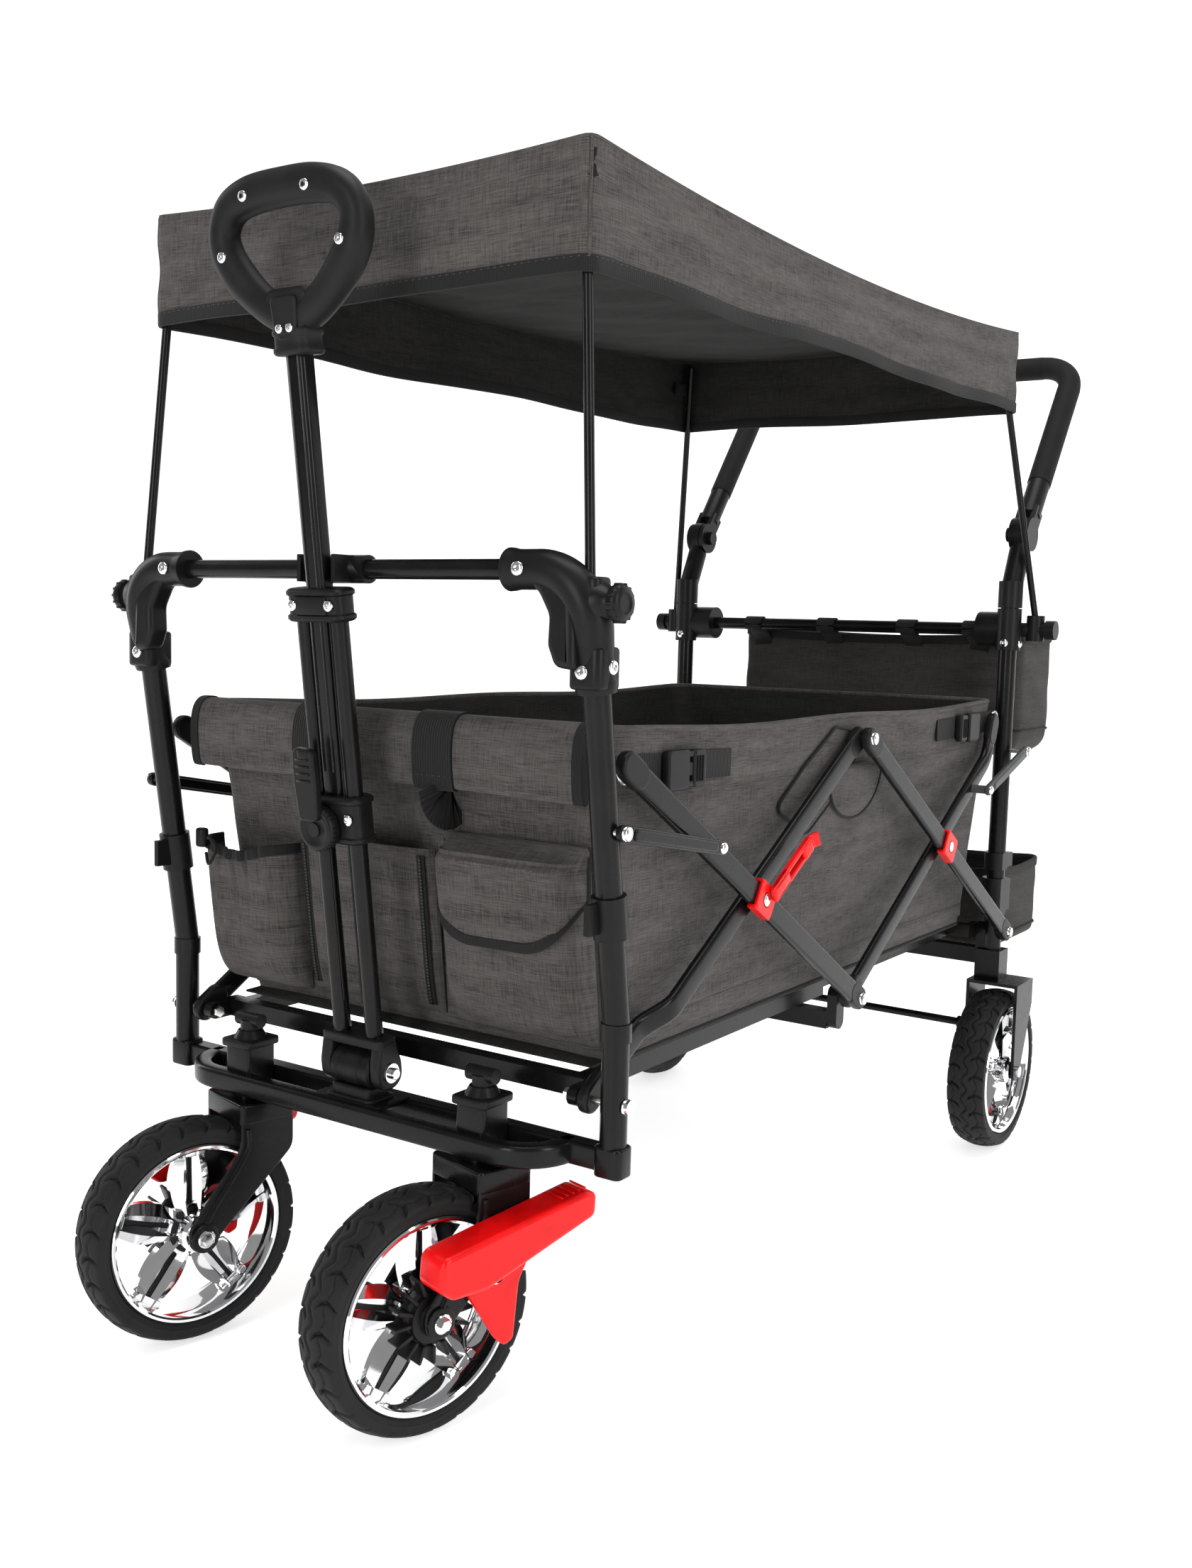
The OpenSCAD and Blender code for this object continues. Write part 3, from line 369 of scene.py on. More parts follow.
# The place that a pattern reads: object coordinates or the piece's own uv, scaled along each axis.
def coords(tree, kind, scale):
    source = tree.nodes.new("ShaderNodeTexCoord")
    mapping = tree.nodes.new("ShaderNodeMapping")
    mapping.inputs["Scale"].default_value = scale
    link(tree, source.outputs[kind], mapping.inputs["Vector"])
    return mapping.outputs["Vector"]


def noise(tree, vector, scale, detail=3.0, rough=0.6):
    n = tree.nodes.new("ShaderNodeTexNoise")
    n.inputs["Scale"].default_value = scale
    n.inputs["Detail"].default_value = detail
    n.inputs["Roughness"].default_value = rough
    link(tree, vector, n.inputs["Vector"])
    return n.outputs["Fac"]


def ramp(tree, value, stops):
    r = tree.nodes.new("ShaderNodeValToRGB")
    while len(r.color_ramp.elements) < len(stops):
        r.color_ramp.elements.new(0.5)
    for element, (at, color) in zip(r.color_ramp.elements, stops):
        element.position = at
        element.color = (*color, 1.0) if len(color) == 3 else color
    link(tree, value, r.inputs["Fac"])
    return r.outputs["Color"]


def maths(tree, kind, a, b):
    n = tree.nodes.new("ShaderNodeMath")
    n.operation = kind
    for k, v in enumerate((a, b)):
        if isinstance(v, (int, float)):
            n.inputs[k].default_value = v
        else:
            link(tree, v, n.inputs[k])
    return n.outputs[0]


def relief(tree, shader, height, strength, distance):
    b = tree.nodes.new("ShaderNodeBump")
    b.inputs["Strength"].default_value = strength
    b.inputs["Distance"].default_value = distance
    link(tree, height, b.inputs["Height"])
    link(tree, b.outputs["Normal"], shader.inputs["Normal"])


def spread(tree, shader, value, low, high):  # noise value to a range of roughness
    r = tree.nodes.new("ShaderNodeMapRange")
    r.inputs["To Min"].default_value = low
    r.inputs["To Max"].default_value = high
    link(tree, value, r.inputs["Value"])
    link(tree, r.outputs["Result"], shader.inputs["Roughness"])


# Woven melange cloth: long thin streaks of two yarn colours across and along, with a plain-weave relief.
def wovenCloth(name, dark, light, weave=5200.0, kind="UV", raised=0.4, sheen=0.06):
    m, tree, shader = newMaterial(name, rough=0.9, **{"Sheen Weight": sheen, "Sheen Roughness": 0.45,
                                                       "Specular IOR Level": 0.18})
    weft = noise(tree, coords(tree, kind, (45, 900, 900)), 1.0, 4.0, 0.7)
    warp = noise(tree, coords(tree, kind, (900, 45, 900)), 1.0, 4.0, 0.7)
    slub = noise(tree, coords(tree, kind, (9, 60, 60)), 1.0, 2.0, 0.5)
    mix = maths(tree, "ADD", maths(tree, "MULTIPLY", weft, 0.45), maths(tree, "MULTIPLY", warp, 0.35))
    mix = maths(tree, "ADD", mix, maths(tree, "MULTIPLY", slub, 0.2))
    mid = tuple((a + b) / 2 for a, b in zip(dark, light))
    link(tree, ramp(tree, mix, [(0.38, dark), (0.5, mid), (0.64, light)]), shader.inputs["Base Color"])
    waves = []
    for axis in ("X", "Y"):
        w = tree.nodes.new("ShaderNodeTexWave")
        w.bands_direction = axis
        w.inputs["Scale"].default_value = weave / 20
        w.inputs["Distortion"].default_value = 0.6
        link(tree, coords(tree, kind, (1, 1, 1)), w.inputs["Vector"])
        waves.append(w.outputs["Fac"])
    height = maths(tree, "ADD", maths(tree, "MULTIPLY", waves[0], waves[1]),
                   maths(tree, "MULTIPLY", mix, 0.8))
    relief(tree, shader, height, raised, 0.0006)
    return m


def paintFinish(name, color, rough=(0.2, 0.34), grain=700.0, strength=0.05, coat=0.06, shine=0.16):
    m, tree, shader = newMaterial(name, rough=rough[0], **{"Coat Weight": coat, "Coat Roughness": 0.1,
                                                           "Specular IOR Level": shine})
    vector = coords(tree, "Object", (1, 1, 1))
    cloud = noise(tree, vector, 26.0, 4.0)
    lifted = tuple(c * 1.6 + 0.001 for c in color)
    link(tree, ramp(tree, cloud, [(0.35, color), (0.75, lifted)]), shader.inputs["Base Color"])
    spread(tree, shader, cloud, *rough)
    relief(tree, shader, noise(tree, vector, grain, 2.0), strength, 0.0004)
    return m


def metalFinish(name, color, rough, brushed=0.0):
    m, tree, shader = newMaterial(name, metal=1.0, rough=rough)
    vector = coords(tree, "Object", (1, 1, 1))
    cloud = noise(tree, vector, 35.0, 3.0)
    link(tree, ramp(tree, cloud, [(0.3, tuple(c * 0.88 for c in color)), (0.7, color)]),
         shader.inputs["Base Color"])
    spread(tree, shader, cloud, rough * 0.7, rough * 1.5 + brushed)
    relief(tree, shader, noise(tree, vector, 420.0, 2.0), 0.02, 0.0003)
    return m


# Ribbed tape or webbing: fine cross ribs from a wave along the strip and a little noise.
def ribbedTape(name, color, ribs=1400.0, strength=0.35, rough=0.75):
    m, tree, shader = newMaterial(name, rough=rough, **{"Sheen Weight": 0.05, "Specular IOR Level": 0.2})
    vector = coords(tree, "UV", (1, 1, 1))
    w = tree.nodes.new("ShaderNodeTexWave")
    w.bands_direction = "X"
    w.inputs["Scale"].default_value = ribs / 20 * 3
    link(tree, vector, w.inputs["Vector"])
    fuzz = noise(tree, coords(tree, "Object", (1, 1, 1)), 900.0, 2.0)
    both = maths(tree, "ADD", maths(tree, "MULTIPLY", w.outputs["Fac"], 0.7),
                 maths(tree, "MULTIPLY", fuzz, 0.3))
    lifted = tuple(c * 2.2 + 0.003 for c in color)
    link(tree, ramp(tree, both, [(0.2, color), (0.9, lifted)]), shader.inputs["Base Color"])
    relief(tree, shader, both, strength, 0.0008)
    return m


cloth = wovenCloth("greyCloth", finishes["clothDark"], finishes["clothLight"])
lining = wovenCloth("darkLining", finishes["liningDark"], finishes["liningLight"], raised=0.15, sheen=0.0)
bagCloth = wovenCloth("bagCloth", finishes["bagDark"], finishes["bagLight"])
tape = ribbedTape("blackBinding", finishes["tape"])
webbing = ribbedTape("coarseWebbing", finishes["tape"], ribs=800.0, strength=0.9)
paint = paintFinish("blackPaint", finishes["paint"])
plastic = paintFinish("blackPlastic", finishes["plastic"], rough=(0.3, 0.44), grain=1500.0, strength=0.1,
                      coat=0.0)
matteGrip = paintFinish("matteGrip", finishes["foam"], rough=(0.42, 0.6), grain=1900.0, strength=0.16,
                        coat=0.0)
foam = paintFinish("softFoam", finishes["foam"], rough=(0.62, 0.8), grain=1300.0, strength=0.3, coat=0.0)
redPlastic = paintFinish("redPlastic", finishes["red"], rough=(0.24, 0.38), grain=260.0, strength=0.04,
                         coat=0.04, shine=0.25)
chrome = metalFinish("brightChrome", (0.86, 0.86, 0.87), 0.06)
steel = metalFinish("plainSteel", (0.70, 0.70, 0.69), 0.2, 0.05)
rubber = paintFinish("tyreRubber", finishes["rubber"], rough=(0.5, 0.72), grain=1100.0, strength=0.25,
                     coat=0.0)
thread = paintFinish("sewingThread", finishes["thread"], rough=(0.6, 0.8), grain=2500.0, strength=0.2,
                     coat=0.0)
print("materials made")

# CAD nodes that keep their own shape take their finish here
def brightPiece(name, parts, body):  # screws, rivets and other polished heads
    return makePiece(name, parts, body, [chrome])


def sewnPiece(name, rows, body):  # rows of stitches
    return makePiece(name, rows, body, [thread], weld=0.0001)


keptFinish = dict(
    frame_black=paint, plastic_black=plastic, red_plastic=redPlastic, steel=steel, rim_chrome=chrome,
    tyre_rubber=rubber, foam=foam, fabric_grey=cloth,
)
slotOf = {s["node"]: s["material_slot"] for s in frame["record"]["subparts"]}
for nodeName, node in frame["nodes"].items():
    finish = keptFinish[slotOf[nodeName]]
    node.data.materials.clear()
    node.data.materials.append(finish)

# sun roof
roof = dict(halfX=236.0, front=-45.5, rear=883.5, corner=9.0, low=902.0, tilt=1.0, drop=96.0,
            sideSag=19.0, endSag=7.0, middleSag=12.0, wall=1.3, tapeH=13.0, fold=(0.0, 1.0, 0.0),
            foldKeep=0.38)


def roofLow(y):
    return roof["low"] + (y - roof["front"]) * math.tan(math.radians(roof["tilt"]))


# A rectangle's outline with rounded corners, as evenly spaced points, and each point's distance to a corner.
def ringOutline(halfX, y0, y1, r, step):
    c = [(-halfX, y0), (halfX, y0), (halfX, y1), (-halfX, y1)]
    ring = bentPath(c, r, step, closed=True)
    far = np.min([np.hypot(ring[:, 0] - x, ring[:, 1] - y) for x, y in c], axis=0)
    return ring, far


# The roof's top droops between its four corners: a bowl over the middle, a shallow arc along each side.
def roofSag(x, y):
    a = np.clip(x / roof["halfX"], -1, 1)
    b = np.clip((y - (roof["front"] + roof["rear"]) / 2) / ((roof["rear"] - roof["front"]) / 2), -1, 1)
    sag = roof["sideSag"] * (1 - b ** 2) + roof["endSag"] * (1 - a ** 2) * b ** 2
    sag = sag + roof["middleSag"] * (1 - a ** 2) * (1 - b ** 2)
    ripple = 1.1 * np.sin((x + y) / 31.0) * np.sin(y / 83.0 + 0.7) + 0.8 * np.sin((x - 1.3 * y) / 23.0 + 1.0)
    pull = np.exp(-np.minimum(1 - np.abs(a), 1 - np.abs(b)) * 9)
    return sag + ripple * (1 - pull) * 1.2


def buildRoof():
    ring, far = ringOutline(roof["halfX"], roof["front"], roof["rear"], roof["corner"], 5.0)
    nextOne = np.roll(ring, -1, 0) - np.roll(ring, 1, 0)
    out = np.stack([nextOne[:, 1], -nextOne[:, 0]], 1)
    out /= np.linalg.norm(out, axis=1)[:, None]
    s = np.append(0, np.cumsum(np.linalg.norm(np.roll(ring, -1, 0) - ring, axis=1)))
    # top: rings shrink from the edge to the middle point
    q = np.append(np.linspace(1, 0.9, 8), np.linspace(0.87, 0.0, 30))[:, None, None]
    middle = np.array([0.0, (roof["front"] + roof["rear"]) / 2])
    xy = middle + q * (ring - middle)[None]
    z = roofLow(xy[..., 1]) + roof["drop"] - roofSag(xy[..., 0], xy[..., 1])
    top = np.concatenate([xy, z[..., None]], 2)
    uvTop = np.concatenate([xy, xy[:, :1]], 1)
    uvTop = np.concatenate([uvTop, uvTop[-1:]]) / 1000
    # border: hangs from the edge, swings in and out a little more towards its lower end
    t = np.linspace(0, 1, 26)[:, None]
    zTop = z[0][None]
    wave = (1.7 * np.sin(s[None, :-1] / 43.0 + 0.6) + 1.3 * np.sin(s[None, :-1] / 27.0 + 2.0 + 1.5 * t)
            + 1.0 * np.sin(s[None, :-1] / 91.0)) * t ** 1.3
    drag = 1.6 * np.sin((far[None] * 0.75 + t * 96) / 10.5) * np.exp(-far[None] / 95.0) * np.sin(np.pi * t)
    swell = 2.2 * np.sin(np.pi * t) ** 2 * (1 - np.exp(-far[None] / 40.0))
    push = (wave * (1 - np.exp(-far[None] / 55.0)) + drag + swell)
    corner = -1.3 * np.exp(-(far[None] / 3.0) ** 2)
    border = ring[None] + (push + corner)[..., None] * out[None]
    scallop = 2.2 * np.sin(s[:-1] / 71.0 + 1.2) * (1 - np.exp(-far / 60.0))
    zLow = roofLow(ring[:, 1]) + 1.0 + scallop
    zBorder = zTop + (zLow[None] - zTop) * t
    skirt = np.concatenate([border, zBorder[..., None]], 2)
    uvSkirt = np.stack(np.broadcast_arrays(s[None], np.append(t, 1)[:, None] * roof["drop"]), -1) / 1000
    sheet = makePiece("sunRoof", [flipped(gridPart(top, uvTop, wrapV=True)),
                                  flipped(gridPart(skirt[::-1], uvSkirt[::-1], wrapV=True))],
                      "front_frame", [cloth, lining], ["roof"], weld=0.5, sharp=50,
                      solidify=dict(thickness=roof["wall"], offset=-1, inner=1))
    # black binding round the lower edge
    low = skirt[-1]
    edge = carry(low + [0, 0, roof["tapeH"] / 2 - 1.2], roundRect(3.4, roof["tapeH"], 1.5, 3), closed=True,
                 uvScale=1.0)
    binding = makePiece("sunRoofBinding", [edge], "front_frame", [tape])
    # sewing: short stitches on the binding and along the top edge of the border
    rows = stitches(low + [0, 0, roof["tapeH"] - 3.4], out, 1.75, pitch=6.5)
    edgeTop = skirt[2] + np.concatenate([out * 0.2, np.zeros((len(out), 1))], 1)
    rows2 = stitches(edgeTop, out, 0.3, pitch=6.5)
    sewing = makePiece("sunRoofStitches", rows + rows2, "front_frame", [thread], weld=0.0001)
    # raised seams: along the four top edges and down the corners
    inset = np.concatenate([out * -1.0, np.full((len(out), 1), 0.2)], 1)
    seamRing = np.concatenate([ring, z[0][:, None]], 1) + inset
    seams = [carry(seamRing, circle(1.5, 8), closed=True)]
    for x in (-1, 1):
        for y in (roof["front"], roof["rear"]):
            k = int(np.argmin(np.hypot(ring[:, 0] - x * roof["halfX"], ring[:, 1] - y)))
            seams.append(carry(skirt[:-2, k], circle(1.3, 8), up=(out[k][0], out[k][1], 0.01)))
    seam = makePiece("sunRoofSeams", seams, "front_frame", [cloth])
    # a corner patch inside each upper corner where the pole ends, and the elastic tab that holds it
    tabs = []
    for x in (-1, 1):
        for y, inward in ((roof["front"], 1), (roof["rear"], -1)):
            zc = roofLow(y) + roof["drop"] - 16
            c = np.array([x * (roof["halfX"] - 7), y + inward * 8, zc])
            tabs.append(lathe([(0, 10), (5, 9.5), (7, 7), (7, -12), (6, -14), (0, -14)], c, (0, 0, 1), 20))
            strip = np.array([c + [0, inward * k * 7.0, -20 - abs(math.sin(k / 2.2)) * 6] for k in range(6)])
            tabs.append(carry(resample(strip, 4), roundRect(1.6, 16, 0.7, 3), up=(0, 0, 1)))
    tab = makePiece("sunRoofCorners", tabs, "front_frame", [tape])
    for piece in (sheet, binding, sewing, seam, tab):
        foldUp(piece)


def foldUp(piece):  # gives the piece a mesh of its own
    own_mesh(piece)


# Short raised stitches along a closed or open row of points, lifted off the cloth along out.
def stitches(path, out, lift, pitch=6.0, long=3.6, wide=0.9, high=0.7):
    out3 = np.concatenate([out, np.zeros((len(out), 1))], 1) if out.shape[1] == 2 else out
    s = np.append(0, np.cumsum(np.linalg.norm(np.diff(path, axis=0), axis=1)))
    at = np.arange(pitch, s[-1] - pitch, pitch)
    c = np.stack([np.interp(at, s, path[:, k]) for k in range(3)], 1)
    n = np.stack([np.interp(at, s, out3[:, k]) for k in range(3)], 1)
    n /= np.linalg.norm(n, axis=1)[:, None]
    d = np.stack([np.interp(at + 0.5, s, path[:, k]) - np.interp(at - 0.5, s, path[:, k])
                  for k in range(3)], 1)
    d /= np.linalg.norm(d, axis=1)[:, None]
    b = np.cross(d, n)
    c = c + n * lift
    # each stitch: a four-sided middle, drawn to a point at both ends
    ring = np.array([(1, 0), (0, 1), (-1, 0), (0, -1)], float)
    sideways = ring[None, :, :1] * b[:, None] * wide / 2
    middle = c[:, None] + sideways + ring[None, :, 1:] * n[:, None] * high / 2
    ends = np.stack([c - d * long / 2, c + d * long / 2], 1)
    pts = np.concatenate([middle, ends], 1).reshape(-1, 3)
    k = np.arange(len(c))[:, None, None] * 6
    a, e = np.arange(4), (np.arange(4) + 1) % 4
    tri = np.concatenate([np.stack([a, e, np.full(4, 4)], 1), np.stack([e, a, np.full(4, 5)], 1)])[None] + k
    tri = tri.reshape(-1, 3)
    part = dict(points=pts, quads=np.zeros((0, 4), int), rings=list(tri), uv=np.zeros((0, 4, 2)), mat=0)
    return [outward(part)]


buildRoof()
print("sun roof made")

# basket
basket = dict(lowX=209.5, topX=230.5, front=15.0, rear=876.0, corner=26.0, low=284.0, rim=563.0, lean=0.13,
              leanFrom=500.0, wall=3.2, seamZ=(521.0, 515.0))


def basketHalf(z):  # the walls lean outwards from the floor to the rim
    return basket["lowX"] + (basket["topX"] - basket["lowX"]) * np.clip((z - basket["low"]) / (
        basket["rim"] - basket["low"]), 0, 1)


def basketFront(z):  # below the hem the front wall leans back
    return basket["front"] + np.clip(basket["leanFrom"] - z, 0, None) * basket["lean"]


def basketRear(z):
    return basket["rear"] - np.clip(basket["leanFrom"] - z, 0, None) * 0.06


def rimHeight(y):  # highest at the two ends and at the middle joint, a little slack between
    b = (y - basket["front"]) / (basket["rear"] - basket["front"])
    return basket["rim"] + 4 * (2 * b - 1) ** 2 - 3.5 * np.sin(2 * math.pi * b) ** 2


# The body cloth: outlines at each height, with the slack between the frame's joints and fine creases.
def buildBasket():
    halfWide, long = 230.0, basket["rear"] - basket["front"]
    unit = ringOutline(halfWide, 0.0, long, basket["corner"], 4.5)[0]
    a = unit[:, 0] / halfWide
    b = unit[:, 1] / long
    nextOne = np.roll(unit, -1, 0) - np.roll(unit, 1, 0)
    out = np.stack([nextOne[:, 1], -nextOne[:, 0]], 1)
    out /= np.linalg.norm(out, axis=1)[:, None]
    s = np.append(0, np.cumsum(np.linalg.norm(np.roll(unit, -1, 0) - unit, axis=1)))
    t = np.append(np.linspace(0, 0.06, 4), np.linspace(0.09, 1, 44))[:, None]
    zTop = rimHeight(basket["front"] + b * (basket["rear"] - basket["front"]))[None]
    z = basket["low"] + t * (zTop - basket["low"])
    y0, y1 = basketFront(z), basketRear(z)
    x = a[None] * basketHalf(z)
    y = y0 + b[None] * (y1 - y0)
    side = np.abs(out[None, :, 0])
    slack = -4.5 * np.sin(math.pi * np.clip(b[None], 0, 1) * 2) ** 2 * np.sin(math.pi * t) * side
    belly = -3.0 * np.sin(math.pi * t) ** 2 * (1 - side)
    crease = 0.9 * np.sin((s[None, :-1] * 0.6 + z * 1.1) / 17.0) * np.sin(z / 47.0 + s[None, :-1] / 130.0)
    crease = crease + 0.7 * np.sin((s[None, :-1] * 0.9 - z * 0.8) / 13.0 + 1.0) * np.sin(z / 61.0)
    crease = crease * np.sin(math.pi * t) - 0.6
    seam = sum(-0.9 * np.exp(-((z - k) / 1.6) ** 2) for k in basket["seamZ"])
    tuck = 2.5 * np.exp(-t / 0.03) * -1
    push = slack + belly + crease + seam + tuck
    p = np.stack([x + push * out[None, :, 0], y + push * out[None, :, 1], z], -1)
    uv = np.stack(np.broadcast_arrays(s[None], np.append(z[:, 0], 600)[:, None]), -1) / 1000
    wallThick = dict(thickness=basket["wall"], offset=-1, inner=1)
    walls = makePiece("basketBody", [flipped(gridPart(p, uv, wrapV=True))], "front_frame",
                      [cloth, lining], ["basket"], weld=0.05, sharp=60, solidify=wallThick)
    # padded rim roll all round, piping and a sewn hem along the bottom
    rim = p[-1] + [0, 0, -1.0] - np.concatenate([out * 1.6, np.zeros((len(out), 1))], 1)
    hem = p[3] + np.concatenate([out * 0.3, np.zeros((len(out), 1))], 1)
    lowEdge = p[0] + [0, 0, 1.0]
    trims = [carry(rim, circle(3.0, 12), closed=True),
             carry(hem + [0, 0, 3.0], roundRect(2.2, 17, 1.0, 3), closed=True),
             tube(lowEdge, 2.6, 10, closed=True)]
    trims[2]["mat"] = 1
    trim = makePiece("basketHems", trims, "front_frame", [cloth, tape])
    out3 = np.concatenate([out, np.zeros((len(out), 1))], 1)
    rows = []
    for level in basket["seamZ"]:
        k = int(np.argmin(np.abs(z[:, 0] - level)))
        keep = np.concatenate([p[k], p[k][:1]])
        rows += stitches(keep, np.concatenate([out3, out3[:1]]), 0.5, pitch=6.0)
    rows += stitches(hem + [0, 0, 9.5], out3, 1.3, pitch=6.0)
    sewing = sewnPiece("basketStitches", rows, "front_frame")
    # floor: a padded board with sewn cross channels
    nx, ny = 60, 150
    u, v = np.meshgrid(np.linspace(-1, 1, nx), np.linspace(-1, 1, ny), indexing="ij")
    edge = (1 - np.abs(u) ** 10) * (1 - np.abs(v) ** 24)
    channel = np.exp(-((np.abs(v) - 0.33) / 0.012) ** 2)
    thick = 7.0 * np.clip(edge, 0, 1) ** 0.5 * (1 - 0.55 * channel) + 1.0
    fx, fy = u * 203, 449 + v * 415
    floorTop = np.stack([fx, fy, 286 + thick], -1)
    floorLow = np.stack([fx, fy, np.full_like(fx, 285.0)], -1)
    uvFloor = np.stack([fx, fy], -1) / 1000
    pad = joinSheets(floorTop, floorLow, uvFloor)
    floorPiece = makePiece("basketFloor", [pad], "front_frame", [lining], weld=0.05)
    for piece in (walls, trim, sewing, floorPiece):
        foldUp(piece)


# Two grids with the same edge make one closed form.
def joinSheets(upper, lower, uv):
    nu, nv = upper.shape[:2]
    a, b = gridPart(upper, uv), gridPart(lower, uv)
    n = nu * nv
    edge = np.concatenate([np.arange(nv), np.arange(1, nu) * nv + nv - 1,
                           (nu - 1) * nv + np.arange(nv - 2, -1, -1), np.arange(nu - 2, 0, -1) * nv])
    nextOne = np.roll(edge, -1)
    wall = np.stack([edge, edge + n, nextOne + n, nextOne], 1)
    quads = np.concatenate([a["quads"], b["quads"][:, ::-1] + n, wall])
    uvs = np.concatenate([a["uv"], b["uv"][:, ::-1], np.zeros((len(wall), 4, 2))])
    # the wall must run the same way round as the upper grid
    part = dict(points=np.concatenate([a["points"], b["points"]]), quads=quads, rings=[], uv=uvs, mat=0)
    first = a["quads"][0]
    wallForward = wall[0][[3, 0]]
    used = {(int(first[k]), int(first[(k + 1) % 4])) for k in range(4)}
    if (int(wallForward[1]), int(wallForward[0])) in used:
        part["quads"] = np.concatenate([a["quads"], b["quads"][:, ::-1] + n, wall[:, ::-1]])
    return outward(part)


buildBasket()
print("basket body made")

# front flap, loops and pockets
flap = dict(half=221.0, low=509.0, front=-19.0, rear=13.0, loopW=44.0, loops=(72.0, -66.0))
flapLine = [(11, 562), (9, 568), (2, 571), (-8, 569.5), (-15, 561), (-18, 545), (-17.5, 525), (-15.5, 512),
            (-12.5, 508.5), (-9, 511), (-10.5, 526), (-11, 545), (-8, 558), (0, 563.5), (6, 562)]


# The rolled flap: one cross-section carried from side to side, its lower edge wandering a little.
def flapPart(x0, x1, grow, step, mat, wander=1.0):
    line = smoothPath(flapLine, 3.0, closed=True)
    middle = line.mean(0)
    x = np.arange(x0, x1 + 0.01, step)
    shape = middle + (line - middle) * 1.0
    n = np.roll(shape, -1, 0) - np.roll(shape, 1, 0)
    n = np.stack([n[:, 1], -n[:, 0]], 1) / np.linalg.norm(n, axis=1)[:, None]
    if (shape * n).sum() < (middle * n.sum(0)).sum():
        n = -n
    shape = shape + n * grow
    down = np.clip((565 - shape[:, 1]) / 55, 0, 1)
    ripple = 1.3 * np.sin(x[:, None] / 37.0) + 0.8 * np.sin(x[:, None] / 17.0 + 1)
    y = shape[None, :, 0] + wander * ripple * down
    z = shape[None, :, 1] + wander * (1.2 * np.sin(x[:, None] / 58.0 + 0.5)) * down
    p = np.stack(np.broadcast_arrays(x[:, None], y, z), -1)
    s = np.append(0, np.cumsum(np.linalg.norm(np.roll(shape, -1, 0) - shape, axis=1)))
    uv = np.stack(np.broadcast_arrays(np.append(x, x[-1])[:, None], s[None]), -1) / 1000
    return outward(gridPart(p, uv, wrapV=True, capU=True, mat=mat))


def buildFlap():
    h = flap["half"]
    parts = [flapPart(-h, h, 0.0, 6.0, 0)]
    for x in (-h, h - 9):
        parts.append(flapPart(x, x + 9, 1.2, 3.0, 1))
    for x in flap["loops"]:
        parts.append(flapPart(x - flap["loopW"] / 2, x + flap["loopW"] / 2, 1.9, 3.0, 2, 0.6))
        # the loop's tail runs down behind the flap to the body
        tail = smoothPath([(x, -14, 513), (x, -11, 503), (x, -4, 497), (x, 6, 494), (x, 12, 497)], 3.0)
        parts.append(carry(tail, roundRect(2.2, flap["loopW"], 1, 3)[:, ::-1] * [1, 1], up=(1, 0, 0), mat=2))
    piece = makePiece("frontFlap", parts, "front_frame", [cloth, tape, webbing])
    rows = []
    for z, y in ((520.0, -18.6), (514.5, -17.4)):
        x = np.linspace(-h + 12, h - 12, 80)
        yy = y + 1.3 * np.sin(x / 37.0) * 0.85 + 0.8 * np.sin(x / 17.0 + 1) * 0.85
        line = np.stack([x, yy, np.full_like(x, z)], 1)
        rows += stitches(line, np.tile([0.0, -1.0, 0.0], (len(x), 1)), 0.4, pitch=6.0)
    sewing = sewnPiece("frontFlapStitches", rows, "front_frame")
    for p in (piece, sewing):
        foldUp(p)


pockets = dict(
    left=dict(x=(-221.0, -118.0), z=(300.0, 436.0), deep=33.0),
    middle=dict(x=(-112.0, 44.0), z=(304.0, 452.0), deep=11.0),
    right=dict(x=(60.0, 206.0), z=(302.0, 458.0), deep=30.0),
)


# A pocket stands off the front wall: full depth in its middle, drawn back to the wall at three edges.
def pocketFront(x, z, p, puff=1.0):
    u = np.clip(2 * (x - p["x"][0]) / (p["x"][1] - p["x"][0]) - 1, -1, 1)
    v = np.clip((z - p["z"][0]) / (p["z"][1] - p["z"][0]), 0, 1)
    sides = np.sqrt(np.clip(1 - np.abs(u) ** 7, 0, 1))
    bottom = np.sqrt(np.clip(1 - (1 - v) ** 8, 0, 1))
    return basketFront(z) - 2 - p["deep"] * sides * bottom * puff


def pocketPart(p, gather=0.0, sag=0.0, mat=0):
    x = np.linspace(*p["x"], 64)[:, None]
    t = np.linspace(0, 1, 48)[None]
    u = (x - p["x"][0]) / (p["x"][1] - p["x"][0])
    z = p["z"][0] + t * (p["z"][1] - p["z"][0] - sag * np.sin(math.pi * u) ** 2)
    z = np.broadcast_to(z, (64, 48))
    puff = 1 + 0.06 * np.sin(math.pi * t) * np.sin(3 * math.pi * u + 0.5)
    y = pocketFront(x, z, p, puff)
    near = np.clip((t - 0.35) / 0.65, 0, 1) ** 1.4
    fan = np.sin(u * 42 + 1.2 * np.sin(t * 3)) * 0.65 + np.sin(u * 71 + 1) * 0.35
    y = y + gather * fan * near * np.sin(math.pi * u) ** 0.5
    crease = 0.9 * np.sin((x + 0.7 * z) / 13.0) * np.sin(z / 31.0) * np.sin(math.pi * u)
    front = np.stack(np.broadcast_arrays(x, y + crease, z), -1)
    back = np.stack(np.broadcast_arrays(x, np.minimum(front[..., 1] + 2.2, basketFront(z) - 0.6), z), -1)
    uv = np.stack(np.broadcast_arrays(x, z), -1) / 1000
    part = joinSheets(front, back, uv)
    part["mat"] = mat
    return part, front


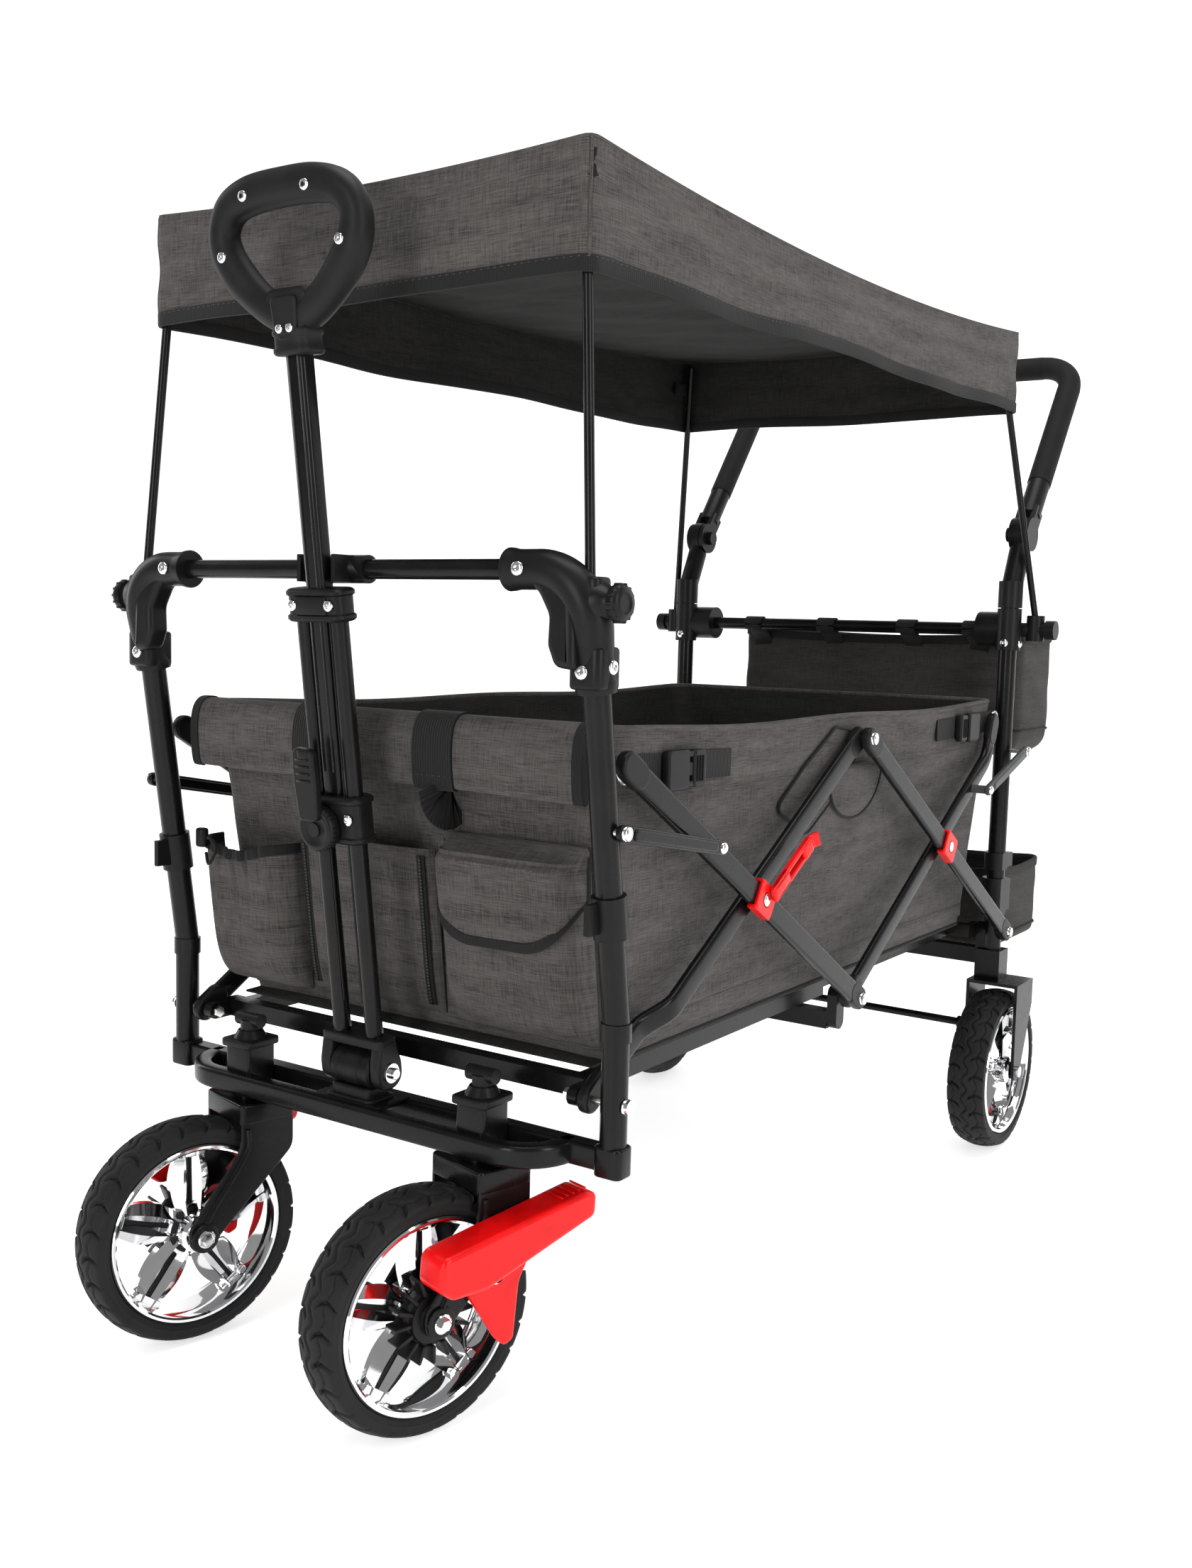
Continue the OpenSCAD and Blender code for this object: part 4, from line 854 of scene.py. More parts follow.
def buildPockets():
    parts, rows = [], []
    left, grid = pocketPart(pockets["left"], gather=2.4, sag=9.0)
    parts.append(left)
    # elastic mouth, and the cord with its lock
    mouth = grid[:, -1] + [0, -0.6, 0]
    parts.append(carry(mouth, roundRect(4.0, 10, 1.8, 4), up=(0, 0, 1), mat=1))
    cordLine = smoothPath([mouth[6] + [0, -3, 0], mouth[14] + [0, -5, 9], mouth[20] + [0, -7, 2],
                           mouth[16] + [0, -8, -14], mouth[11] + [0, -7, -7]], 2.0)
    parts.append(tube(cordLine, 1.5, 8, mat=1))
    lock = mouth[8] + [0, -6, 6]
    parts.append(block(lock - [6, 5, 9], lock + [6, 5, 9], 5, 2.5, mat=3))
    middle, grid = pocketPart(pockets["middle"])
    parts.append(middle)
    m = pockets["middle"]
    # zip down both edges of the middle panel
    for x in (m["x"][0] + 9, m["x"][1] - 9):
        z = np.linspace(m["z"][0] + 8, m["z"][1] - 6, 60)
        line = np.stack([np.full_like(z, x), pocketFront(np.full_like(z, x), z, m) - 1.0, z], 1)
        parts.append(carry(line, roundRect(9, 1.4, 0.6, 3), up=(0, -1, 0), mat=1))
        parts.append(carry(line + [0, -1.0, 0], roundRect(2.6, 1.4, 0.6, 3), up=(0, -1, 0), mat=3))
        rows += stitches(line, np.tile([0.0, -1.0, 0.0], (60, 1)) + 0.0, 1.9, pitch=3.0, long=1.7, wide=3.4)
    right, grid = pocketPart(pockets["right"])
    parts.append(right)
    # the flap: hangs over the pocket's mouth with two big round lower corners
    r = pockets["right"]
    x0, x1, top, low, round_ = r["x"][0] - 1, r["x"][1] + 1, 470.0, 383.0, 50.0
    outline = bentPath([(x0, top), (x1, top), (x1, low), (x0, low)], [3, 3, round_, round_], 4.0, closed=True)
    centre = np.array([(x0 + x1) / 2, (top + low) / 2 + 8])
    q = np.append(np.linspace(0.0, 0.9, 14), [0.95, 1.0])[:, None, None]
    xz = centre + q * (outline - centre)[None]
    lift = 4.5 + 2.0 * np.clip((top - xz[..., 1]) / 90, 0, 1)
    base = pocketFront(xz[..., 0], np.minimum(xz[..., 1], r["z"][1] - 8), r)
    up = np.clip((xz[..., 1] - 452) / 18, 0, 1)
    y = (base - lift) * (1 - up) + (basketFront(xz[..., 1]) - 2.5) * up
    crease = 0.9 * np.sin((xz[..., 0] - xz[..., 1]) / 14.0)
    p = np.stack([xz[..., 0], y + crease * (1 - up), xz[..., 1]], -1)
    uv = np.concatenate([xz, xz[:, :1]], 1)
    uv = np.concatenate([uv, uv[-1:]]) / 1000
    cover = flipped(gridPart(p, uv, wrapV=True))
    rim = p[-1]
    hang = rim[:, 2] < top - 4
    order = np.where(hang)[0]
    gap = int(np.argmax(np.diff(np.append(order, order[0] + len(rim)))))
    order = np.roll(order, -gap - 1)
    bindingPath = rim[order]
    inner = p[-1][order] + (np.array([centre[0], 0, centre[1]]) - rim[order]) * [0.075, 0, 0.1] + [0, -0.8, 0]
    rows += stitches(inner, np.tile([0.0, -1.0, 0.0], (len(inner), 1)), 0.7, pitch=5.0)
    body = makePiece("frontPockets", parts, "front_frame", [cloth, tape, webbing, plastic])
    flapPiece = makePiece("pocketFlap", [cover], "front_frame", [cloth, lining], weld=0.3,
                          solidify=dict(thickness=1.8, offset=-1, inner=1))
    edge = makePiece("pocketFlapBinding", [flatStrip(bindingPath, centre, 9.0, 3.4)], "front_frame",
                     [tape])
    sewing = sewnPiece("pocketStitches", rows, "front_frame")
    for piece in (body, flapPiece, edge, sewing):
        foldUp(piece)


# A tape folded over an edge: its width points to the middle of what it binds.
def flatStrip(path, middle, wide, thick, mat=0):
    t = np.gradient(path, axis=0)
    t /= np.linalg.norm(t, axis=1)[:, None]
    inward = np.array([middle[0], 0, middle[1]]) - path * [1, 0, 1]
    inward -= (inward * t).sum(1)[:, None] * t
    inward /= np.linalg.norm(inward, axis=1)[:, None]
    face = np.cross(t, inward)
    prof = roundRect(wide, thick, thick * 0.42, 4)
    p = path[:, None] + (prof[None, :, :1] + wide * 0.3) * inward[:, None] + prof[None, :, 1:] * face[:, None]
    s = np.append(0, np.cumsum(np.linalg.norm(np.diff(path, axis=0), axis=1)))
    s = np.append(s, s[-1])
    uv = np.stack(np.broadcast_arrays(s[:, None], np.linspace(0, 0.03, len(prof) + 1)[None] * 1000),
                  -1) / 1000
    return outward(gridPart(p, uv, wrapV=True, capU=True, mat=mat))


buildFlap()
buildPockets()
print("front flap and pockets made")

def flatOutline(points, radius, step=3.0):
    return bentPath(points, radius, step, closed=True)


# A bar's outline: two half circles of radius r about p and q, joined by straight sides.
def stadium(p, q, r, n=14):
    p, q = np.asarray(p, float), np.asarray(q, float)
    a = math.atan2(q[1] - p[1], q[0] - p[0])
    f = a + np.linspace(-math.pi / 2, math.pi / 2, n)
    end = np.stack([np.cos(f), np.sin(f)], 1)
    return np.concatenate([q + r * end, p - r * end])


# A rivet's head: a low dome whose rim drops to the face under it.
def dome(at, r, h, axis=(1, 0, 0), mat=0, n=24):
    return lathe([(0, h), (r * 0.45, h * 0.95), (r * 0.8, h * 0.68), (r * 0.97, h * 0.3), (r, 0), (0, 0)],
                 at, axis,
                 n, mat)


def sideCopies(name, parts, bodies, mats, replaced):  # one piece a side, on its own body
    for side, word, body in ((1, "Right", bodies[1]), (-1, "Left", bodies[0])):
        nodes = [r + ("_right" if side > 0 else "_left") for r in replaced]
        makePiece(name + word, [p if side > 0 else mirrored(p) for p in parts], body, mats, nodes)


# turns a part built beside its own swivel axis into its place on the wagon
def atCaster(part, side):
    q = part if side > 0 else mirrored(part)
    place = Matrix.Translation((side * wagon["swivelX"], wagon["swivelY"], 0)) @ Matrix.Rotation(
        math.radians(-wagon["casterTurn"]), 4, "Z")
    return moved(q, place)


def atFrontWheel(part, side):
    return atCaster(moved(part, Matrix.Translation((0, -wagon["trail"], wagon["wheelR"]))), side)


def atRearWheel(part, side):
    q = moved(part, Matrix.Translation((wagon["rearWheelX"], wagon["rearAxleY"], wagon["wheelR"])))
    return q if side > 0 else mirrored(q)


# wheels: lengths in mm, angles in degrees
tyre = dict(angles=624, blocks=26, crownR=47.08, grooveDeep=3.0, waveDeep=2.0, shoulderX=20.6)
rim = dict(spokes=5, hubR=15.0, ringR=74.0, spokeWide=10.0, spokeBulge=6.5, spokeDeep=24.0, slot=2.0)


# The tyre: a crowned section turned about the axle; slanted side grooves and a waving middle groove are cut
# into the crown as a depth that depends on the angle and on the place across.
def tyrePart():
    n, blocks = tyre["angles"], tyre["blocks"]
    a = np.arange(n) * tau / n
    x = np.linspace(-tyre["shoulderX"], tyre["shoulderX"], 36)
    crown = wagon["wheelR"] - tyre["crownR"] + np.sqrt(tyre["crownR"] ** 2 - x ** 2)
    wall = [(80.2, 18.5), (81.5, 20.6), (83.4, 21.6), (85.2, 22.2), (86.0, 22.9), (86.9, 22.4), (89.5, 22.7),
            (92.3, 22.9), (94.3, 22.3)]
    r = np.concatenate([[w[0] for w in wall], crown, [w[0] for w in wall[::-1]]])
    xs = np.concatenate([[-w[1] for w in wall], x, [w[1] for w in wall[::-1]]])
    weight = np.clip((r - 90) / 4, 0, 1)
    pitch = tau * 98 / blocks
    phase = a[:, None] * blocks / tau + 0.5 * (xs > 0) + 0.5 * np.sin(np.abs(xs) / 23 * 2.6)
    off = (phase % 1 - 0.5) * pitch
    lateral = np.exp(-(off / 1.7) ** 4) * np.clip((np.abs(xs) - 4.5) / 2.0, 0, 1)
    middle = np.exp(-((xs - 3.4 * np.sin(a[:, None] * blocks)) / 1.5) ** 4)
    outer = np.exp(-((np.abs(xs) - 13.5 - 1.8 * np.sin(a[:, None] * blocks + 1.2)) / 0.8) ** 4) * 0.7
    deep = tyre["grooveDeep"] * lateral + tyre["waveDeep"] * np.maximum(middle, outer)
    radius = r[None] - deep * weight
    p = np.stack(np.broadcast_arrays(xs[None], radius * np.cos(a)[:, None], radius * np.sin(a)[:, None]), -1)
    return outward(gridPart(p, wrapU=True, wrapV=True))


# The rim: a lipped ring, a waisted hub and five pairs of ridged spokes that part in the middle.
def rimParts():
    lip = [(80.4, -20.6), (79.2, -22.0), (77.0, -22.0), (75.4, -20.6), (74.6, -17), (73.2, -14), (72.4, -8),
           (72.2, 0)]
    lip = lip + [(r, -h) for r, h in lip[-2::-1]]
    parts = [lathe(lip + lip[:1], (0, 0, 0), (1, 0, 0), 96)]
    hub = [(0, -27.5), (9, -27.5), (12, -26.5), (13, -24), (16.5, -22), (17, -13), (14.5, -10)]
    parts.append(lathe(hub + [(r, -h) for r, h in hub[::-1]], (0, 0, 0), (1, 0, 0), 40))
    t = np.linspace(0, 1, 15)
    radius = rim["hubR"] - 2 + t * (rim["ringR"] - rim["hubR"] + 1)
    wide = rim["spokeWide"] + rim["spokeBulge"] * np.sin(math.pi * t) ** 1.2
    deep = rim["spokeDeep"] * (1 - 0.35 * t)
    section = np.array([(-0.5, -0.22), (-0.1, -0.5), (0.5, -0.16), (0.5, 0.16), (-0.1, 0.5), (-0.5, 0.22)])
    for k in range(rim["spokes"]):
        turn = Matrix.Rotation(math.radians(k * 72 + 18), 4, "X")
        for s in (-1, 1):
            path = np.stack([0 * t, radius, s * (rim["slot"] + wide / 2)], 1)
            p = path[:, None] + section[None, :, :1] * wide[:, None, None] * np.array([0, 0, s]) \
                + section[None, :, 1:] * deep[:, None, None] * np.array([1, 0, 0])
            parts.append(moved(outward(gridPart(p, wrapV=True, capU=True)), turn))
        base = flatOutline([(13, -9), (24, -4), (24, 4), (13, 9)], 1.5, 2)
        parts.append(moved(slab(base, -9, 9, 1.0, acrossX), turn))
        tip = flatOutline([(66, -13), (73, -15), (73, 15), (66, 13)], 1.5, 2)
        parts.append(moved(slab(tip, -7, 7, 1.0, acrossX), turn))
        web = flatOutline([(20, -4), (68, -4), (68, 4), (20, 4)], 1.0, 2)
        parts.append(moved(slab(web, -3, 3, 0.6, acrossX, mat=1), turn))
    return parts


# The brake hub on a front wheel's outer side: a stepped disc with sixteen radial fins.
def gearParts():
    parts = [lathe([(0, 8), (21, 8), (23, 10), (25, 13), (25, 19), (21, 20), (20, 24), (14, 25), (13, 28),
                    (0, 28)],
                   (0, 0, 0), (1, 0, 0), 48)]
    fin = slab(flatOutline([(22, -1.7), (37, -1.3), (37, 1.3), (22, 1.7)], 0.8, 1.5), 11, 26, 0.7, acrossX)
    parts += [moved(fin, Matrix.Rotation(k * tau / 16, 4, "X")) for k in range(16)]
    return parts


def buildWheels():
    tyreGrid, chromeParts, gear = tyrePart(), rimParts(), gearParts()
    cap = [lathe([(0, 9.6), (20, 9.6), (21.5, 8.6), (21.5, 5), (0, 5)], (0, 0, 0), (-1, 0, 0), 40)]
    for side, word in ((-1, "left"), (1, "right")):
        for end, place in (("front", atFrontWheel), ("rear", atRearWheel)):
            body = f"wheel_{end}_{word}"
            name = f"{end}{word.title()}"
            makePiece(name + "Tyre", [place(tyreGrid, side)], body, [rubber],
                      [f"tyre_{end}_{word}"],
                      sharp=50)
            makePiece(name + "Rim", [place(p, side) for p in chromeParts], body,
                      [chrome, plastic], [f"rim_{end}_{word}"], sharp=28)
            makePiece(name + "HubCap", [place(p, side) for p in (gear if end == "front" else []) + cap], body,
                      [plastic])


buildWheels()
print("wheels made")

# stamped caster fork: legs, box top, stem and the pedal's ear; x is outwards, -y ahead
forkShape = dict(inside=29.0, legT=4.0, top=212.0, stemR=7.0, pedalAt=(-15.0, 128.0), axleAt=(-62.0, 100.0))


def forkParts():
    f = forkShape
    x0, x1 = f["inside"], f["inside"] + f["legT"]
    top = f["top"]
    leg = flatOutline([(-26, top), (-26, 172), (-76, 108), (-75, 87), (-50, 87), (-47, 98), (26, 166),
                       (26, top)],
                      [3, 16, 12, 12, 12, 10, 16, 3])
    parts = []
    for a, b in ((x0, x1), (-x1, -x0)):
        parts.append(slab(leg, a, b, 1.3, acrossX))
    rib = [(-20, 190), (-22, 168), (-52, 126), (-60, 112)]
    for s in (-1, 1):
        path = smoothPath([(s * (x1 + 0.2), y, z) for y, z in rib], 4)
        parts.append(tube(path, 2.6, 10, up=(1, 0, 0)))
        parts.append(lathe([(0, 0), (13, 0), (13, 2.2), (11, 3), (7.5, 3), (0, 3)], (s * x1, *f["axleAt"]),
                           (s, 0, 0), 32))
    parts.append(block((-x1 - 1, -27, 194), (x1 + 1, 27, top + 0.4), 5, 2))
    parts.append(lathe([(0, 0), (17, 0), (17, 4.2), (0, 4.2)], (0, 0, top), (0, 0, 1), 32))
    parts.append(rod((0, 0, top), (0, 0, 258), f["stemR"]))
    parts.append(slab(stadium((-34, 128), f["pedalAt"], 8), x0, x1, 1.0, acrossX))
    parts.append(rod((x1, *f["pedalAt"]), (x1 + 14, *f["pedalAt"]), 4))
    return parts


# The brake pedal: a long rounded foot pad with a thin web and a tail below it, and fine ribs at its tip.
def pedalParts():
    x0 = forkShape["inside"] + forkShape["legT"] + 0.5
    pad = flatOutline([(-85, 141), (-83, 166), (60, 188), (71, 184), (70, 165), (24, 151), (-40, 131),
                       (-72, 131)],
                      [8, 9, 6, 5, 7, 24, 20, 9], 2.5)
    parts = [slab(pad, x0, x0 + 32, 4.5, acrossX, steps=5)]
    tail = flatOutline([(-52, 136), (-12, 74), (-4, 66), (5, 70), (10, 118), (34, 158), (-40, 152)],
                       [6, 14, 4, 4, 22, 10, 8], 2.5)
    parts.append(slab(tail, x0, x0 + 8, 2.4, acrossX, steps=4))
    for k in range(5):
        y = 38 + k * 6
        z = 166 + (y + 83) * 22 / 143 + 0.6
        parts.append(rod((x0 + 6, y, z), (x0 + 26, y, z), 0.9, 8, edge=0.3))
    return parts


def buildCasters():
    x0 = forkShape["inside"] + forkShape["legT"] + 0.5
    for side, word in ((-1, "left"), (1, "right")):
        makePiece("casterFork" + word.title(), [atCaster(p, side) for p in forkParts()], "caster_" + word,
                  [paint], ["caster_fork_" + word])
        makePiece("brakePedal" + word.title(), [atCaster(p, side) for p in pedalParts()], "pedal_" + word,
                  [redPlastic], ["caster_pedal_" + word], sharp=50)
        at = (x0 + 7.8, *forkShape["pedalAt"])
        eye = [lathe([(3.4, 2.2), (6.2, 1.8), (6.6, 0.4), (6.4, -0.6), (3.2, -0.6), (3.4, 2.2)], at,
                     (1, 0, 0), 28)]
        makePiece("pedalEyelet" + word.title(), [atCaster(p, side) for p in eye], "caster_" + word,
                  [steel])
    for side in (-1, 1):
        word = "left" if side < 0 else "right"
        bolts = [lathe([(0, 3.4), (7.2, 3.4), (8.0, 2.8), (8.2, 0), (0, 0)],
                       (s * 34.5, *forkShape["axleAt"]), (s, 0, 0), 28)
                 for s in (-1, 1)]
        bolts += [lathe([(0, 8.2), (4.6, 8.2), (5.6, 7.4), (5.6, 3), (0, 3)],
                        (s * 33.5, *forkShape["axleAt"]), (s, 0, 0), 6)
                  for s in (-1, 1)]
        brightPiece("casterBolts" + word.title(), [atCaster(p, side) for p in bolts], "caster_" + word)


buildCasters()
print("casters made")

# scissor bars lie in a side plane, (y, z); these are the places where they meet and cross
halfSpan = wagon["span"] / 2
lowZ, topZ = wagon["pivotZ"], wagon["pivotZ"] + wagon["rise"]
openTop, openLow = (halfSpan, topZ), (halfSpan, lowZ)
frontCross, rearCross = (halfSpan / 2, (lowZ + topZ) / 2), (halfSpan * 1.5, (lowZ + topZ) / 2)
barEnd, barHalf = wagon["barH"] / 2, wagon["barT"] / 2
barShape = dict(edge=3.2, capR=11.8, capLong=17.0, hornBack=84.0, hornLong=46.0, hornAngle=70.0,
                stepStart=78.0,
                stepEnd=118.0)


def barCap(p, q, x, half=4.9):  # plastic end of a bar
    p, q = np.asarray(p, float), np.asarray(q, float)
    way = (q - p) / np.linalg.norm(q - p)
    return slab(stadium(p, p + way * barShape["capLong"], barShape["capR"]), x - half, x + half, 2.6,
                acrossX, mat=1)


def planeBar(points, x):  # a flat-oval tube that keeps to one side plane
    path = np.asarray(points, float)
    path = np.stack([np.broadcast_to(x, (len(path),)), path[:, 0], path[:, 1]], 1)
    t = np.gradient(path, axis=0)
    up = np.stack([0 * t[:, 0], -t[:, 2], t[:, 1]], 1)
    return carry(path, roundRect(wagon["barT"], wagon["barH"], 4.2, 5), up)


def buildScissors():
    b = barShape
    inX, outX = wagon["innerX"], wagon["outerX"]
    for name, body, node, p, q in (("barsFrontOuter", "bars_a", "scissor_front_outer", (0.0, topZ), openLow),
                                   ("barsRearOuter", "bars_c", "scissor_rear_outer", openTop,
                                    (wagon["span"], lowZ))):
        bars = [slab(stadium(p, q, barEnd), outX - barHalf, outX + barHalf, b["edge"], acrossX, steps=5),
                barCap(p, q, outX), barCap(q, p, outX)]
        makePiece(name, bothSides(bars), body, [paint, plastic], [node])
    way = np.array([math.cos(openAngle), math.sin(openAngle)])
    long = math.hypot(halfSpan, wagon["rise"])
    s = np.concatenate([np.linspace(0, b["stepStart"], 8), np.linspace(b["stepStart"], b["stepEnd"], 9)[1:],
                        np.linspace(b["stepEnd"], long, 24)[1:]])
    ease = np.clip((s - b["stepStart"]) / (b["stepEnd"] - b["stepStart"]), 0, 1)
    ease = ease * ease * (3 - 2 * ease)
    x = wagon["footX"] + (inX - wagon["footX"]) * ease
    p0, p1 = (0.0, lowZ), openTop
    line = np.array(p0) + s[:, None] * way
    bars = [planeBar(line, x), barCap(p0, tuple(line[8]), wagon["footX"]), barCap(p1, p0, inX)]
    makePiece("barsFrontInner", bothSides(bars), "bars_b", [paint, plastic],
              ["scissor_front_inner"])
    knee = np.array(openLow) + (long - b["hornBack"]) * way
    horn = math.radians(b["hornAngle"])
    tip = knee + b["hornLong"] * np.array([math.cos(horn), math.sin(horn)])
    line = bentPath([openLow, tuple(knee), tuple(tip)], 40, 5)
    bars = [planeBar(line, inX), barCap(openLow, tuple(knee), inX), barCap(tuple(tip), tuple(knee), inX)]
    makePiece("barsRearInner", bothSides(bars), "bars_d", [paint, plastic],
              ["scissor_rear_inner"])
    face = outX + 5.0
    for name, body, spots in (("rivetHeadsFront", "bars_b", [frontCross, openTop]),
                              ("rivetHeadsMiddle", "bars_d", [openLow, rearCross]),
                              ("rivetHeadsRear", "rear_frame", [(wagon["span"], lowZ)])):
        brightPiece(name, bothSides([dome((face, *at), 6.6, 3.9) for at in spots]), body)


# Red saddles clip over the outer bars where two bars cross; the front ones carry the fold lock's lever.
def saddleParts(at):
    turn = Matrix.Translation((0, *at)) @ Matrix.Rotation(-openAngle, 4, "X")
    x = wagon["outerX"]
    parts = []
    for low, high in (((x - 2.4, -16, -14.2), (x + 7.6, 16, -10.6)),
                      ((x - 2.4, -16, 10.6), (x + 7.6, 16, 14.2))):
        parts.append(block(low, high, 2.0, 1.2))
    ring = flatOutline([(-16, -14), (16, -14), (16, 14), (-16, 14)], 4, 2.0)
    inner = circle(6.7, len(ring))
    start = int(np.argmin(np.abs(np.arctan2(ring[:, 1], ring[:, 0]))))
    ring = np.roll(ring, -start, 0)
    a = np.arctan2(ring[:, 1], ring[:, 0])
    inner = 6.7 * np.stack([np.cos(a), np.sin(a)], 1)
    rows = []
    for outline, w in ((ring * 0.985, x + 4.7), (ring, x + 5.4), (ring, x + 6.9), (ring * 0.95, x + 7.9),
                       (inner * 1.12, x + 7.9), (inner, x + 7.3), (inner, x + 4.7)):
        rows.append(np.concatenate([np.full((len(outline), 1), w), outline], 1))
    rows.append(rows[0])
    parts.append(outward(gridPart(np.stack(rows), wrapV=True)))
    return [moved(p, turn) for p in parts]


def leverParts():
    turn = Matrix.Translation((0, *frontCross)) @ Matrix.Rotation(openAngle, 4, "X")
    x = wagon["outerX"] + 8.1
    sides = [block((x, 9, 3.4), (x + 6, 84, 7.2), 2, 1.2), block((x, 9, -7.2), (x + 6, 84, -3.4), 2, 1.2)]
    sides.append(block((x, 6, -7.2), (x + 6, 38, 7.2), 2.6, 1.6))
    sides.append(block((x, 68, -7.6), (x + 7, 87, 7.6), 2.8, 1.8))
    path = [(x + 2.6, 84, 0), (x + 4.5, 90, 0), (x + 9, 95, 0)]
    sides.append(carry(smoothPath(path, 2), roundRect(15, 4, 1.6, 4), up=(1, 0, 0)))
    for k in range(4):
        sides.append(rod((x + 6.6, 71 + k * 3.6, -5.5), (x + 6.6, 71 + k * 3.6, 5.5), 0.8, 8, edge=0.3))
    return [moved(p, turn) for p in sides]


buildScissors()
makePiece("saddlesFront", bothSides(saddleParts(frontCross)), "bars_a", [redPlastic],
          ["front_clips"])
makePiece("saddlesRear", bothSides(saddleParts(rearCross)), "bars_c", [redPlastic],
          ["rear_clips"])
sideCopies("foldLock", leverParts(), ("latch_left", "latch_right"), [redPlastic],
           ["latch_lever"])
print("scissor frame made")

# stays: flattened links with a raised flute on each side
stayShape = dict(x=(261.5, 267.5), front=((-24.66, 491.36), (127.16, 464.27)),
                 rear=((900.0, 503.31), (772.84, 464.27)))


def stayParts(a, b, inner):
    x0, x1 = stayShape["x"]
    a, b = np.asarray(a), np.asarray(b)
    way = (b - a) / np.linalg.norm(b - a)
    parts = [slab(stadium(a, b, 6.5), x0, x1, 1.8, acrossX, steps=4)]
    p, q = a + way * 16, b - way * 16
    parts.append(slab(stadium(p, q, 4.6), x0 - 1.6, x1 + 1.8, 1.7, acrossX, steps=4))
    parts.append(lathe([(0, 0), (5, 0), (5, x0 - inner), (0, x0 - inner)], (inner, *b), (1, 0, 0), 20))
    return parts


def buildStays():
    makePiece("staysFront", bothSides(stayParts(*stayShape["front"], 256.5)), "front_stays",
              [paint],
              ["front_stays"])
    makePiece("staysRear", bothSides(stayParts(*stayShape["rear"], 245.0)), "rear_stays",
              [steelGrey],
              ["rear_stays"])
    front, rear = stayShape["front"], stayShape["rear"]
    brightPiece("stayPinsFront",
                bothSides([dome((267.9, *front[0]), 6.2, 3.6), dome((258.6, 0, lowZ), 6.6, 4.4)]),
              "front_frame")
    brightPiece("stayEndsFront", bothSides([dome((267.2, *front[1]), 5.2, 3.2)]), "front_stays")
    brightPiece("stayPinsRear", bothSides([dome((267.9, *rear[0]), 6.2, 3.6)]), "rear_frame")
    brightPiece("stayEndsRear", bothSides([dome((267.2, *rear[1]), 5.2, 3.2)]), "rear_stays")


steelGrey = paintFinish("greyPaint", (0.05, 0.05, 0.052), rough=(0.3, 0.45), coat=0.1)
buildStays()

# lower front frame: bow rail, straight rail and the two swivel boxes
lowFrame = dict(z=(217.0, 236.0), bowX=204.0, bowY=-42.0, railY=2.0, boxTop=265.0)


def buildLowerFrame():
    f = lowFrame
    z0, z1 = f["z"]
    mid = (z0 + z1) / 2
    parts = [block((-247.5, f["railY"] - 9, z0), (247.5, f["railY"] + 9, z1), 3, 2.4)]
    bow = bentPath([(f["bowX"], 5, mid), (f["bowX"], f["bowY"], mid), (-f["bowX"], f["bowY"], mid),
                    (-f["bowX"], 5, mid)], 42, 5)
    parts.append(carry(bow, roundRect(16, z1 - z0, 4, 5)))
    parts.append(block((-38, f["bowY"], z1 - 4), (38, f["railY"], z1 + 0.6), 4, 1.0))
    x, y = wagon["swivelX"], wagon["swivelY"]
    for s in (-1, 1):
        parts.append(block((s * x - 15, y - 17, z0), (s * x + 15, y + 17, f["boxTop"] - 3), 4, 1.6))
        parts.append(block((s * x - 18.5, y - 20, f["boxTop"] - 7), (s * x + 18.5, y + 20, f["boxTop"]), 5,
                           1.6, mat=1))
        parts.append(lathe([(0, 0), (16, 0), (16, 3), (0, 3)], (s * x, y, z0 - 2), (0, 0, 1), 28, 1))
        parts.append(block((s * 247.5 - 13, -11, z0 - 3), (s * 247.5 + 13, 11, z1 + 3), 6, 2, mat=0))
    makePiece("lowerFrame", parts, "front_frame", [paint, plastic], ["front_lower_frame"])


buildLowerFrame()

# elbows at the top of the front posts, with the knobs that hold the roof's poles
elbow = dict(r=15.2, turn=42.0, lowZ=597.0, inboard=178.0, knobZ=663.0)


